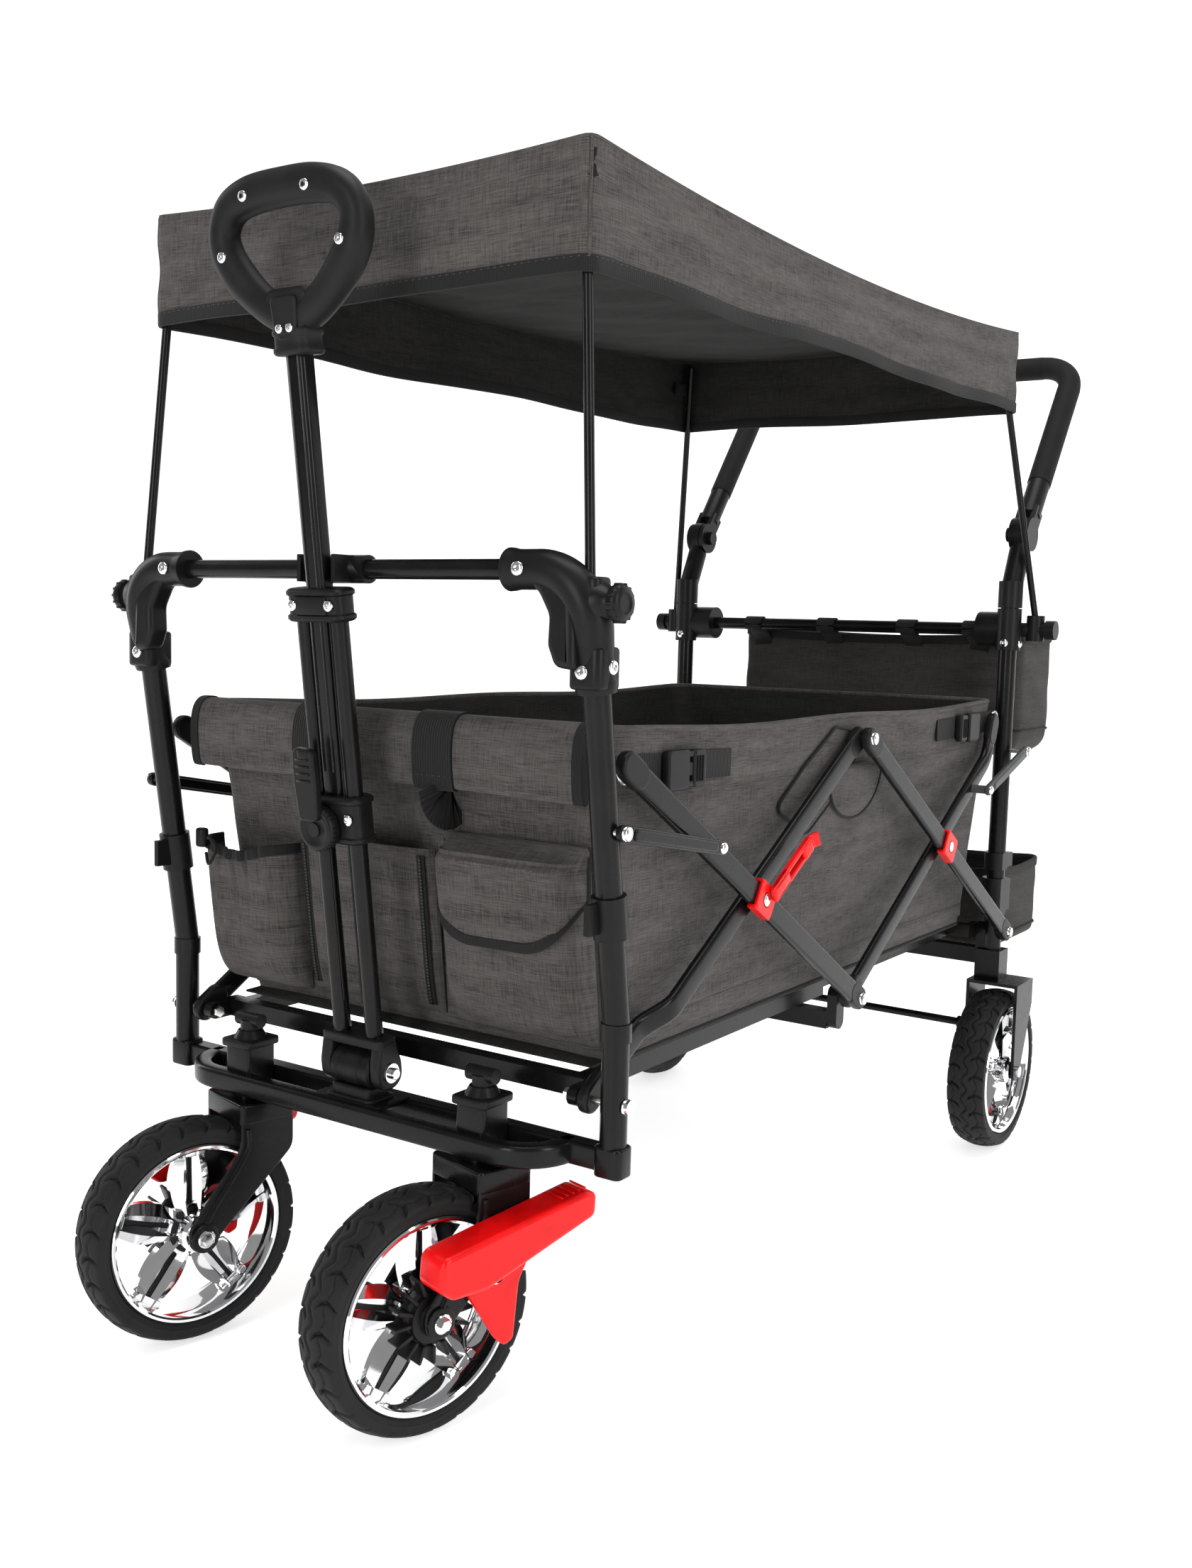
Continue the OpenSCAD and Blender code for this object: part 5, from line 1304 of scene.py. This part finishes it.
def buildElbows():
    e = elbow
    x, z = wagon["postX"], wagon["frontBarZ"]
    low = (x, postY(e["lowZ"]), e["lowZ"])
    path = bentPath([low, (x, frontBarY, z), (e["inboard"], frontBarY, z)], e["turn"], 4)
    s = np.linspace(0, 1, len(path))
    grow = 1 + 0.10 * np.exp(-((s - 0.04) / 0.03) ** 2) + 0.12 * np.exp(-((s - 0.45) / 0.2) ** 2)
    grow = grow + 0.10 * np.exp(-((s - 0.99) / 0.03) ** 2)
    parts = [tube(path, e["r"], 28, up=(0, -1, 0.001), grow=grow)]
    parts.append(block((x - 15, postY(612) - 17, e["lowZ"] + 2), (x + 15, postY(612) + 14, e["lowZ"] + 34),
                       7, 3))
    web = flatOutline([(x - 6, z - 4), (x - 54, z - 6), (x - 38, z - 17), (x - 28, z - 34), (x - 29, z - 56),
                       (x - 22, z - 72), (x - 4, z - 74)], [4, 5, 12, 12, 9, 8, 4])
    parts.append(slab(web, frontBarY - 11, frontBarY + 11, 6.0, acrossY, steps=5))
    ky = postY(e["knobZ"])
    parts.append(lathe([(0, 0), (15, 0), (15, 12), (12, 15), (11, 20), (13.5, 21), (14.2, 24), (14.2, 27),
                        (12, 30),
                        (8, 30.6), (7, 29.4), (0, 29.4)], (x, ky, e["knobZ"]), (1, 0, 0), 36))
    ribs = np.arange(14) * tau / 14
    for a in ribs:
        c = np.array([x, ky + 13.6 * math.cos(a), e["knobZ"] + 13.6 * math.sin(a)])
        parts.append(rod(c + [21.5, 0, 0], c + [28.5, 0, 0], 1.4, 8, edge=0.5))
    parts.append(block((x - 12, ky - 11, e["knobZ"] - 18), (x + 12, ky + 11, e["knobZ"] + 19), 6, 3))
    screws = [screw((x - 52, frontBarY - e["r"] - 0.2, z), (0, -1, 0), 5.6, 2.8),
              screw((x - 1, postY(612) - 16.8, 612), (0, -1, 0), 5.6, 2.8),
              screw((x + 14.8, postY(612), 616), (1, 0, 0), 5.6, 2.8)]
    makePiece("elbows", bothSides(parts), "front_frame", [plastic], ["front_elbows"],
              sharp=50)
    brightPiece("elbowScrews", bothSides(screws), "front_frame")


buildElbows()
print("front frame made")

# pull bar, built upright on its own pivot and then leaned forward
pull = dict(pivot=(0.0, -22.0, 262.0), lean=7.6, gap=37.0, tubeR=7.6, long=400.0, sliderLow=202.0, neck=611.0)
pullPlace = Matrix.Translation(pull["pivot"]) @ Matrix.Rotation(math.radians(pull["lean"]), 4, "X")


def onBar(parts):
    return [moved(p, pullPlace) for p in parts]


# an upright collar: a rounded outline in x and y, swollen at its two ends
def collar(wide, deep, z0, z1, r=9.0, lip=1.6, mat=0):
    ring = roundRect(wide, deep, min(r, deep / 2.1), 6)
    level = [(0.0, -1.5), (0.6, 0.0), (2.4, lip), (5.0, lip), (6.4, 0.0)]
    rows = [(z0 + h, g) for h, g in level] + [(z1 - h, g) for h, g in level[::-1]]
    size = np.array([wide / 2, deep / 2])
    p = np.stack([np.concatenate([ring * (size + g) / size, np.full((len(ring), 1), z)], 1) for z, g in rows])
    return outward(gridPart(p, wrapV=True, capU=True, mat=mat))


def buildPullBar():
    half = pull["gap"] / 2
    top = pull["long"] - 14
    frameParts = [rod((s * half, 0, 26), (s * half, 0, top + 6), pull["tubeR"], 28) for s in (-1, 1)]
    for s in (-1, 1):
        frameParts.append(carry([(s * (half - 7.9), -3.0, 60), (s * (half - 7.9), -3.0, top)],
                                circle(1.1, 8), up=(1, 0, 0)))
    frameParts.append(collar(59, 24, top, top + 27, mat=1))
    frameParts.append(block((-17, -13.6, top + 6), (17, -11, top + 21), 3, 1.0, mat=1))
    for s in (-1, 1):
        cheek = flatOutline([(-15, -15), (15, -15), (15, 6), (9, 28), (-9, 28), (-15, 6)],
                            [13, 13, 8, 5, 5, 8])
        frameParts.append(slab(cheek, s * 28.4 - 5.8, s * 28.4 + 5.8, 2.2, acrossX, mat=1))
    frameParts.append(block((-34, -10.5, 22), (34, 10.5, 31), 4, 1.6, mat=1))
    frameParts.append(rod((-35, 0, 0), (35, 0, 0), 5, mat=0))
    makePiece("pullFrame", onBar(frameParts), "pull_bar", [paint, plastic], ["pull_frame"])
    bolts = [screw((s * 20, -12.6, top + 13.5), (0, -1, 0), 4.6, 2.4) for s in (-1, 1)]
    bolts += [lathe([(0, 6.4), (4.2, 6.4), (5, 5.4), (5, 2), (8.5, 1.8), (8.8, 0), (0, 0)], (s * 34, 0, 0),
                    (s, 0, 0), 6 * 4)
              for s in (-1, 1)]
    brightPiece("pullFrameBolts", onBar(bolts), "pull_bar")
    low = pull["sliderLow"]
    inner = [slabUp(roundRect(20, 15, 4, 5), low + 12, pull["neck"] + 6)]
    for x in (-5.2, 5.2):
        inner.append(carry([(x, -7.7, low + 60), (x, -7.7, pull["neck"])], circle(0.9, 8), up=(0, 1, 0)))
    inner.append(collar(61, 26, low, low + 40, mat=1))
    inner.append(lathe([(0, 0), (6, 0), (6, 14), (0, 14)], (-6, -12, low + 14), (0, -1, 0), 24, mat=1))
    makePiece("pullSlider", onBar(inner), "pull_inner", [paint, plastic], ["pull_slider"])
    brightPiece("pullSliderScrew", onBar([screw((22, -13.4, low + 22), (0, -1, 0), 5.0, 2.6)]), "pull_inner")
    # the catch: a ribbed round cap and a thumb lever with three slots
    c = np.array([-6.0, -13.5, low + 14])
    a = np.arange(30) * tau / 30
    catch = [lathe([(0, 11.2), (12.5, 11.4), (13.2, 12), (16.6, 12), (18.6, 10), (19, 7), (19, 1), (18, 0),
                    (0, 0)], c,
                   (0, -1, 0), 48)]
    for k in a:
        e = c + [18.4 * math.cos(k), 0, 18.4 * math.sin(k)]
        catch.append(rod(e + [0, -1.4, 0], e + [0, -9.5, 0], 1.1, 8, edge=0.4))
    stem = flatOutline([(-16, 18), (4, 18), (6, 50), (5, 78), (-18, 80), (-19, 50)], [4, 4, 8, 6, 6, 8])
    catch.append(moved(slab(stem, -30.4, -22.6, 2.0, acrossY, steps=4), Matrix.Translation((-1, 0, low + 4))))
    for k in range(4):
        z = low + 56 + k * 6
        catch.append(rod((-15, -30.7, z), (-1, -30.7, z), 1.1, 8, edge=0.4))
    catch.append(block((-12, -31.4, low + 74), (-1, -27, low + 82), 2, 1.4))
    makePiece("pullCatch", onBar(catch), "pull_catch", [plastic], ["pull_lever"], sharp=50)
    # the roller on which the bar turns, its saddle plate, and the end caps
    x, y, z = pull["pivot"]
    roll = [lathe([(0, -22), (15, -22), (17, -20.5), (17, -15), (16.2, -14), (16.2, -9), (17, -8), (17, 8),
                   (16.2, 9),
                   (16.2, 14), (17, 15), (17, 20.5), (15, 22), (0, 22)], (x, y, z), (1, 0, 0), 40)]
    roll.append(block((-22, y - 15, 235.5), (22, y + 13, 248), 4, 2))
    roll.append(block((-26, y - 18, 235.2), (26, y + 16, 239), 5, 1.4))
    makePiece("pullRoller", roll, "front_frame", [plastic], ["pull_pivot_base"])


# An outline in x and y pulled straight up, its ends rounded.
def slabUp(outline, z0, z1, edge=0.8, mat=0):
    return slab(outline, z0, z1, edge, None, mat)


# The grip: an oval section carried round a closed loop of rounded-triangle shape, thick at the top bar and at
# the neck; the neck is a tapering block with a scalloped collar.
grip = dict(loop=[(0, 108.0, 1.10), (34, 106.5, 1.10), (58, 99.5, 1.0), (70, 84, 0.92), (69, 66, 1.0),
                  (57, 47, 1.06),
                  (38, 29, 1.0), (18, 16, 1.0), (0, 10, 1.0)])


def buildGrip():
    n0 = pull["neck"]
    half = np.array(grip["loop"])
    loop = np.concatenate([half, (half[1:-1] * [-1, 1, 1])[::-1]])
    line = smoothPath(loop, 3.0, closed=True)
    path = np.stack([line[:, 0], np.zeros(len(line)), n0 + line[:, 1]], 1)
    f = np.arange(28) * tau / 28
    section = np.stack([13.2 * np.sign(np.cos(f)) * np.abs(np.cos(f)) ** 0.85,
                        12.6 * np.sign(np.sin(f)) * np.abs(np.sin(f)) ** 0.85], 1)
    parts = [carry(path, section, up=(0, -1, 0), closed=True, grow=line[:, 2])]
    neck = flatOutline([(-30, 34), (30, 34), (17, 8), (14, -14), (-14, -14), (-17, 8)],
                       [10, 10, 12, 4, 4, 12])
    parts.append(moved(slab(neck, -11.5, 11.5, 4.0, acrossY, steps=5), Matrix.Translation((0, 0, n0))))
    parts.append(collar(35, 27, n0 - 17, n0 + 4, 8, 1.2))
    shield = flatOutline([(-14, 27), (14, 27), (12, 4), (7, -6), (-7, -6), (-12, 4)], [3, 3, 4, 4, 4, 4])
    parts.append(moved(slab(shield, -14.4, -11, 1.4, acrossY), Matrix.Translation((0, 0, n0))))
    parts.append(moved(slab(shield, 11, 14.0, 1.4, acrossY), Matrix.Translation((0, 0, n0))))
    makePiece("pullGrip", onBar(parts), "pull_inner", [matteGrip], ["pull_grip"], sharp=60)
    at = [(-33, -13.0, 104), (33, -13.0, 104), (-63, -12.2, 62), (63, -12.2, 62), (-5.5, -13.8, 3),
          (5.5, -13.8, 3)]
    heads = [screw((x, y, n0 + z), (0, -1, 0), 4.4 if abs(x) > 9 else 3.6, 2.2) for x, y, z in at]
    brightPiece("pullGripRivets", onBar(heads), "pull_inner")


buildPullBar()
buildGrip()
print("pull bar made")


# A soft open bag: rings of a rounded rectangle rise from the middle of the bottom, round a bottom corner of
# the given radius and up the walls, which belly out between the corners and crease a little.
def softBag(low, high, corner, fillet, belly, sagTop, crease=0.9, mat=0):
    low, high = np.asarray(low, float), np.asarray(high, float)
    c, d = (low[:2] + high[:2]) / 2, high[:2] - low[:2]
    box = [(-d[0] / 2, -d[1] / 2), (d[0] / 2, -d[1] / 2), (d[0] / 2, d[1] / 2), (-d[0] / 2, d[1] / 2)]
    ring = bentPath(box, corner, 6.0, closed=True)
    far = np.min([np.hypot(ring[:, 0] - x, ring[:, 1] - y) for x, y in box], axis=0)
    along = np.roll(ring, -1, 0) - np.roll(ring, 1, 0)
    out = np.stack([along[:, 1], -along[:, 0]], 1) / np.linalg.norm(along, axis=1)[:, None]
    s = np.append(0, np.cumsum(np.linalg.norm(np.roll(ring, -1, 0) - ring, axis=1)))
    f = np.linspace(0, math.pi / 2, 9)
    inset = np.concatenate([fillet * (1 - np.sin(f)), np.zeros(26)])
    z = np.concatenate([fillet * (1 - np.cos(f)), np.linspace(fillet, high[2] - low[2], 27)[1:]])[:, None]
    t = z / (high[2] - low[2])
    swell = belly * np.sin(math.pi * np.clip(t, 0, 1)) ** 0.8 * (1 - np.exp(-far / 45.0))[None]
    fold = crease * np.sin((s[None, :-1] + 1.4 * z) / 15.0) * np.sin(s[None, :-1] / 67.0 + t
                                                                     * 2) * np.sin(math.pi * t)
    push = swell + fold - inset[:, None]
    p = c + ring[None] + push[..., None] * out[None]
    drop = sagTop * np.clip(t, 0, 1) ** 3 * (1 - np.exp(-far / 70.0))[None]
    walls = np.concatenate([p, (low[2] + z - drop)[..., None]], 2)
    q = np.linspace(0, 1, 12, endpoint=False)[:, None, None]
    base = walls[0].mean(0) + q * (walls[0] - walls[0].mean(0))[None]
    base[..., 2] += 1.2 * np.sin(base[..., 0] / 23.0) * np.sin(base[..., 1] / 19.0) * (1 - q[..., 0])
    grid = np.concatenate([base, walls])
    v = np.concatenate([np.linspace(-0.08, 0, 12, endpoint=False), z[:, 0] / 1000, [0.3]])
    uv = np.stack(np.broadcast_arrays(s[None] / 1000, v[:, None]), -1)
    return flipped(gridPart(grid, uv, wrapV=True, mat=mat)), walls, out


rearBag = dict(low=(-160.0, 939.0, 494.0), high=(238.0, 1070.0, 651.0), corner=14.0, fillet=26.0)
rearTray = dict(low=(-224.0, 934.0, 238.0), high=(224.0, 1112.0, 344.0), corner=24.0, fillet=12.0)


def buildRearBags():
    for name, spec, node, belly, sag in (("rearBag", rearBag, "rear_bag", 5.0, 9.0),
                                         ("rearTray", rearTray, "rear_basket", 4.0, 7.0)):
        shell, walls, out = softBag(spec["low"], spec["high"], spec["corner"], spec["fillet"], belly, sag)
        makePiece(name, [shell], "rear_frame", [bagCloth, lining], [node], weld=0.3, sharp=60,
                  solidify=dict(thickness=2.4, offset=-1, inner=1))
        out3 = np.concatenate([out, np.zeros((len(out), 1))], 1)
        rim = walls[-1] + [0, 0, -4] + out3 * 0.4
        trims = [carry(rim, roundRect(4.4, 12, 1.8, 4), closed=True)]
        seam = walls[9] + out3 * 0.6
        trims.append(tube(seam, 1.8, 8, closed=True))
        # a zip across the back wall, its teeth and its pull
        y1 = spec["high"][1] + belly
        z1 = spec["low"][2] + 0.55 * (spec["high"][2] - spec["low"][2])
        x = np.linspace(spec["low"][0] + 30, spec["high"][0] - 30, 60)
        back = np.array([walls[22][np.argmin(np.abs(walls[22][:, 0] - k)
                                             + (walls[22][:, 1] < spec["high"][1] - 20) * 999)]
                         for k in x])
        zip_ = np.stack([x, back[:, 1] + 1.0, np.full_like(x, z1) + 0 * x], 1)
        trims.append(carry(zip_, roundRect(2.0, 14, 0.9, 3), up=(0, 0, 1)))
        trims.append(carry(zip_ + [0, 1.2, 0], roundRect(1.6, 3.4, 0.7, 3), up=(0, 0, 1), mat=1))
        trims.append(block((x[-1] - 4, y1 + 1, z1 - 12), (x[-1] + 3, y1 + 3.4, z1 + 2), 1.2, 0.8, mat=1))
        makePiece(name + "Trim", trims, "rear_frame", [tape, plastic])
        rows = stitches(walls[-1] + [0, 0, -11.5], out3, 0.9, pitch=6.0)
        rows += stitches(zip_ + [0, 0.2, 9.5], np.tile([0.0, 1.0, 0.0], (len(x), 1)), 0.5, pitch=6.0)
        rows += stitches(zip_ + [0, 0.2, -9.5], np.tile([0.0, 1.0, 0.0], (len(x), 1)), 0.5, pitch=6.0)
        sewnPiece(name + "Stitches", rows, "rear_frame")
    # loops that hang the bag on the rear crossbar
    loops = []
    z = wagon["rearBarZ"]
    for x in (-130, -20, 95, 185):
        f = np.linspace(-0.9, 4.0, 18)
        arc = [(x, wagon["hubY"] + 9.6 * math.cos(a), z + 9.6 * math.sin(a)) for a in f]
        line = [(x, 939, z - 34), (x, 936, z - 20)] + arc
        loops.append(carry(smoothPath(line, 3), roundRect(26, 1.8, 0.8, 3), up=(0, 0.02, 1), mat=0))
    makePiece("rearBagLoops", loops, "rear_frame", [webbing])
    # the rolled cover that lies in the low basket: a soft roll and two ties
    f = np.linspace(0, tau, 40, endpoint=False)
    x = np.linspace(-196, 196, 90)
    r = 33 * (1 + 0.05 * np.sin(f * 2 + 0.6)[None] + 0.03 * np.sin(x / 21.0)[:, None] * np.sin(f * 3)[None])
    r = r * (1 - 0.25 * np.clip((np.abs(x) - 180) / 16, 0, 1) ** 2)[:, None]
    tie = (np.exp(-((x - 92) / 9.0) ** 2) + np.exp(-((x + 92) / 9.0) ** 2))[:, None]
    r = r * (1 - 0.13 * tie)
    p = np.stack(np.broadcast_arrays(x[:, None], 1020 + r * np.cos(f), 277 + r * np.sin(f)), -1)
    uv = np.stack(np.broadcast_arrays(np.append(x, x[-1])[:, None], np.append(f, tau)[None] * 33), -1) / 1000
    roll = [outward(gridPart(p, uv, wrapV=True, capU=True))]
    for s in (-92, 92):
        ring = np.stack([np.full(40, s), 1020 + 30.6 * np.cos(f), 277 + 30.6 * np.sin(f)], 1)
        roll.append(carry(ring, roundRect(20, 2.2, 0.9, 3), up=np.stack([0 * f, np.cos(f), np.sin(f)], 1),
                          closed=True,
                          mat=1))
    makePiece("rearRoll", roll, "rear_frame", [bagCloth, tape])


buildRearBags()
print("rear bags made")

# basket side details: corner straps with buckles, and the patch and half-moon flap under the middle joint
sideTrim = dict(strapZ=(530.0, 536.0), strapWide=25.0, buckleLong=62.0)


def sideX(y, z):  # the basket's wall at a point, with its slack
    b = (y - basket["front"]) / (basket["rear"] - basket["front"])
    t = (z - basket["low"]) / (basket["rim"] - basket["low"])
    slack = 4.5 * np.sin(2 * math.pi * np.clip(b, 0, 1)) ** 2 * np.sin(math.pi * np.clip(t, 0, 1))
    return basketHalf(z) - slack + 0.4


def strapPart(y0, y1, z0, z1, mat=0):
    y = np.linspace(y0, y1, 40)
    z = np.linspace(z0, z1, 40)
    path = np.stack([sideX(y, z) + 1.0, y, z], 1)
    return carry(path, roundRect(2.0, sideTrim["strapWide"], 0.8, 3), mat=mat)


# a side-release buckle lying on the wall: two rounded halves, the prongs between them and three ribs near one end
def bucklePart(y, z, way):
    long = sideTrim["buckleLong"]
    x = float(sideX(np.array(y + long / 2), np.array(z))) + 2.0
    parts = []
    for a, b, h in ((0, 0.56, 17), (0.66, 1.0, 16)):
        ya, yb = (y + long * a, y + long * b) if way > 0 else (y + long * (1 - b), y + long * (1 - a))
        o = flatOutline([(ya, z - h), (yb, z - h), (yb, z + h), (ya, z + h)], 4.5, 2)
        parts.append(slab(o, x, x + 9, 2.6, acrossX, steps=4))
    ya, yb = y + long * 0.5, y + long * 0.72
    parts.append(block((x + 1, ya, z - 6), (x + 7.4, yb, z + 6), 2, 1.4))
    for k in (-12.5, 12.5):
        parts.append(block((x + 1, ya, z + k - 2.6), (x + 7.8, yb, z + k + 2.6), 2, 1.4))
    for k in range(3):
        yy = y + long * (0.74 + 0.07 * k) if way > 0 else y + long * (0.26 - 0.07 * k)
        parts.append(rod((x + 9.2, yy, z - 11), (x + 9.2, yy, z + 11), 0.9, 8, edge=0.3))
    return parts


# Turns an open grid so that its faces look outwards along +x.
def facingX(part):
    p, q = part["points"], part["quads"]
    n = np.cross(p[q[:, 1]] - p[q[:, 0]], p[q[:, 2]] - p[q[:, 0]])
    return part if n[:, 0].sum() > 0 else flipped(part)


def buildSideTrim():
    z0, z1 = sideTrim["strapZ"]
    straps = [strapPart(30, 204, z0 + 3, z0 - 1), strapPart(690, 872, z1, z1 + 6)]
    # metal rings where the straps meet the corners
    rings = [lathe([(11 + 1.6 * math.cos(a), 1.6 * math.sin(a)) for a in np.linspace(0, tau, 11)],
                   (float(sideX(np.array(y), np.array(z))) + 4, y, z), (1, 0, 0.0), 28)
             for y, z in ((26.0, z0 + 4), (868.0, z1 + 6))]
    webs = makePiece("sideStraps", bothSides(straps), "front_frame", [webbing])
    clasp = makePiece("sideBuckles", bothSides(bucklePart(83, 529, 1) + bucklePart(742, 537, -1)),
                      "front_frame",
                      [plastic])
    metal = makePiece("sideRings", bothSides(rings), "front_frame", [steel])
    # the patch under the middle joint runs from its peak down to the lower front
    patch = flatOutline([(413, 552), (492, 541), (436, 486), (372, 446), (305, 478), (352, 515)],
                        [8, 8, 10, 12, 6, 12], 5)
    moonA = np.linspace(math.pi * 1.02, math.pi * 1.98, 30)
    moon = np.stack([473 + 63 * np.cos(moonA), 501 + 46 * np.sin(moonA)], 1)
    moon = np.concatenate([moon, [(534, 506), (500, 511), (450, 511), (412, 506)]])
    moon = resample(moon, 4, closed=True)
    pieces, edges, rows = [], [], []
    for outline, lift in ((patch, 1.6), (moon, 3.2)):
        c = outline.mean(0)
        q = np.append(np.linspace(0, 0.94, 12), [1.0, 1.0])[:, None, None]
        yz = c + q * (outline - c)[None]
        x = sideX(yz[..., 0], yz[..., 1]) + lift
        x[-1] -= lift + 0.4
        x[:-2] += 1.4 * (1 - q[:-2, :, 0] ** 2)
        p = np.stack([x, yz[..., 0], yz[..., 1]], -1)
        uv = np.concatenate([yz, yz[:, :1]], 1)
        uv = np.concatenate([uv, uv[-1:]]) / 1000
        pieces.append(facingX(gridPart(p, uv, wrapV=True)))
        ringPath = p[-2]
        edges.append(tube(ringPath, 1.5, 8, closed=True, up=(1, 0, 0)))
        inner = p[10]
        rows += stitches(inner, np.tile([1.0, 0.0, 0.0], (len(inner), 1)), 0.5, pitch=6.0)
    cover = makePiece("sidePatches", bothSides(pieces), "front_frame", [cloth])
    border = makePiece("sidePatchEdges", bothSides(edges), "front_frame", [tape])
    sewing = makePiece("sidePatchStitches", bothSides(rows), "front_frame", [thread],
                       weld=0.0001)
    for piece in (webs, clasp, metal, cover, border, sewing):
        foldUp(piece)


buildSideTrim()
print("side trim made")

# rear brake: a black bar across the wagon with a red rocker and a foot pad at each end
brake = dict(y=898.0, z=150.0, rockerX=(207.5, 216.5), barY=942.0, barZ=134.0, barR=5.0, padX=188.5)


def buildRearBrake():
    b = brake
    x0, x1 = b["rockerX"]
    pivot = (b["y"], b["z"])
    ends = [slab(stadium(pivot, (b["y"] + 42, b["z"] - 14), 9), x0, x1, 2.0, acrossX),
            slab(stadium(pivot, (b["y"] - 12, b["z"] - 30), 6), x0, x1, 1.6, acrossX)]
    pad = flatOutline([(934, 127), (962, 124), (966, 136), (936, 142)], [4, 4, 4, 4], 2.0)
    ends.append(slab(pad, b["padX"], x0, 2.4, acrossX, steps=4))
    for k in range(3):  # grip ribs under the shoe
        y = b["y"] + 46 + k * 6
        ends.append(rod((b["padX"] + 4, y, b["z"] - 9.6 - k * 1.2), (x0 - 3, y, b["z"] - 9.6 - k * 1.2),
                        1.0, 8, edge=0.3))
    ends.append(rod((x1 - 1, *pivot), (x1 + 4.4, *pivot), 4, mat=1))
    ends.append(lathe([(0, 0), (8, 0), (8, 7), (6.8, 8.4), (0, 8.4)],
                      (b["padX"] - 8.4, b["barY"], b["barZ"]), (1, 0, 0),
                      28, 1))
    bar = rod((-b["padX"], b["barY"], b["barZ"]), (b["padX"], b["barY"], b["barZ"]), b["barR"], 24, mat=1)
    makePiece("brakeBar", bothSides(ends) + [bar], "rear_brake", [redPlastic, paint],
              ["brake_bar"],
              sharp=50)


# screws and a rivet on the rear clamps
def buildRearScrews():
    x, y, z = wagon["rearX"], wagon["span"], wagon["rearBarZ"]
    heads = [screw((x, y + 14.8, z + s * 17), (0, 1, 0), 5.0, 2.6) for s in (-1, 1)]
    heads += [screw((x, y - 14.8, z - 17), (0, -1, 0), 5.0, 2.6)]
    heads += [dome((x + 14.6, y, z - 18), 4.6, 2.6)]
    brightPiece("rearScrews", bothSides(heads), "rear_frame")


buildRearBrake()
buildRearScrews()
print("rear brake made")

# floor, lights and camera
stageSet = dict(size=16.0, cove=2.2, wallY=4.0, color=(0.9, 0.9, 0.9), glow=0.62)


# The backdrop: a flat floor that turns up into a wall through a quarter circle.
def buildStage():
    cove, wallY = stageSet["cove"], stageSet["wallY"]
    bend = np.linspace(0.1, math.pi / 2, 16)
    y = np.concatenate([np.linspace(-8, wallY - cove, 12), wallY - cove + cove * np.sin(bend), [wallY]])
    z = np.concatenate([np.zeros(12), cove * (1 - np.cos(bend)), [6.0]])
    mesh = bpy.data.meshes.new("studioFloor")
    n = len(y)
    co = np.concatenate([np.stack([np.full(n, x), y, z], 1) for x in (-stageSet["size"] / 2,
                                                                      stageSet["size"] / 2)])
    k = np.arange(n - 1)
    mesh.from_pydata(co.tolist(), [], np.stack([k, k + n, k + n + 1, k + 1], 1).tolist())
    mesh.shade_smooth()
    m, tree, shader = newMaterial("paleFloor", rough=0.6)
    cloud = noise(tree, coords(tree, "Object", (1, 1, 1)), 1.5, 2.0)
    a = stageSet["color"]
    link(tree, ramp(tree, cloud, [(0.0, tuple(c * 0.985 for c in a)), (1.0, a)]), shader.inputs["Base Color"])
    shader.inputs["Emission Color"].default_value = (1, 1, 1, 1)
    shader.inputs["Emission Strength"].default_value = stageSet["glow"]
    mesh.materials.append(m)
    obj = bpy.data.objects.new("studioFloor", mesh)
    bpy.context.scene.collection.objects.link(obj)


def areaLight(name, at, aim, size, power, color=(1, 1, 1)):
    data = bpy.data.lights.new(name, "AREA")
    data.shape = "RECTANGLE"
    data.size, data.size_y = size
    data.energy = power
    data.color = color
    obj = bpy.data.objects.new(name, data)
    obj.location = at
    obj.rotation_euler = (Vector(aim) - Vector(at)).to_track_quat("-Z", "Y").to_euler()
    bpy.context.scene.collection.objects.link(obj)
    return obj


buildStage()
areaLight("topSoftbox", (0.3, -0.3, 3.2), (0, 0, 0.4), (1.8, 1.8), 56)
areaLight("rightSoftbox", (3.0, -1.0, 1.5), (0, 0, 0.5), (0.7, 2.2), 40)
areaLight("frontSoftbox", (0.2, -3.6, 1.3), (0, 0, 0.5), (0.9, 1.8), 40)
areaLight("leftSoftbox", (-3.0, -0.6, 1.4), (0, 0, 0.5), (0.6, 2.4), 24)
world = bpy.data.worlds.new("studioWorld")
world.use_nodes = True
world.node_tree.nodes["Background"].inputs["Color"].default_value = (1, 1, 1, 1)
world.node_tree.nodes["Background"].inputs["Strength"].default_value = 0.3
bpy.context.scene.world = world
bpy.context.scene.view_settings.view_transform = "Standard"

view = dict(x=0.87834, yFromPivot=-0.97397, z=0.64636, turn=33.955, down=5.960, roll=1.4836, lens=34.79,
            sensor=36.0)
camera = bpy.data.cameras.new("camera")
camera.sensor_fit = "VERTICAL"
camera.sensor_height = view["sensor"]
camera.lens = view["lens"]
camera.clip_start = 0.05
az, el, roll = (math.radians(view[k]) for k in ("turn", "down", "roll"))
ahead = Vector((-math.sin(az) * math.cos(el), math.cos(az) * math.cos(el), -math.sin(el)))
right = ahead.cross(Vector((0, 0, 1))).normalized()
upward = right.cross(ahead)
rolledRight = right * math.cos(roll) + upward * math.sin(roll)
rolledUp = -right * math.sin(roll) + upward * math.cos(roll)
eye = bpy.data.objects.new("camera", camera)
eye.matrix_world = Matrix((rolledRight, rolledUp, -ahead)).transposed().to_4x4()
eye.location = (view["x"], pivotY + view["yFromPivot"], view["z"])
bpy.context.scene.collection.objects.link(eye)
bpy.context.scene.camera = eye
print("lights and camera set")
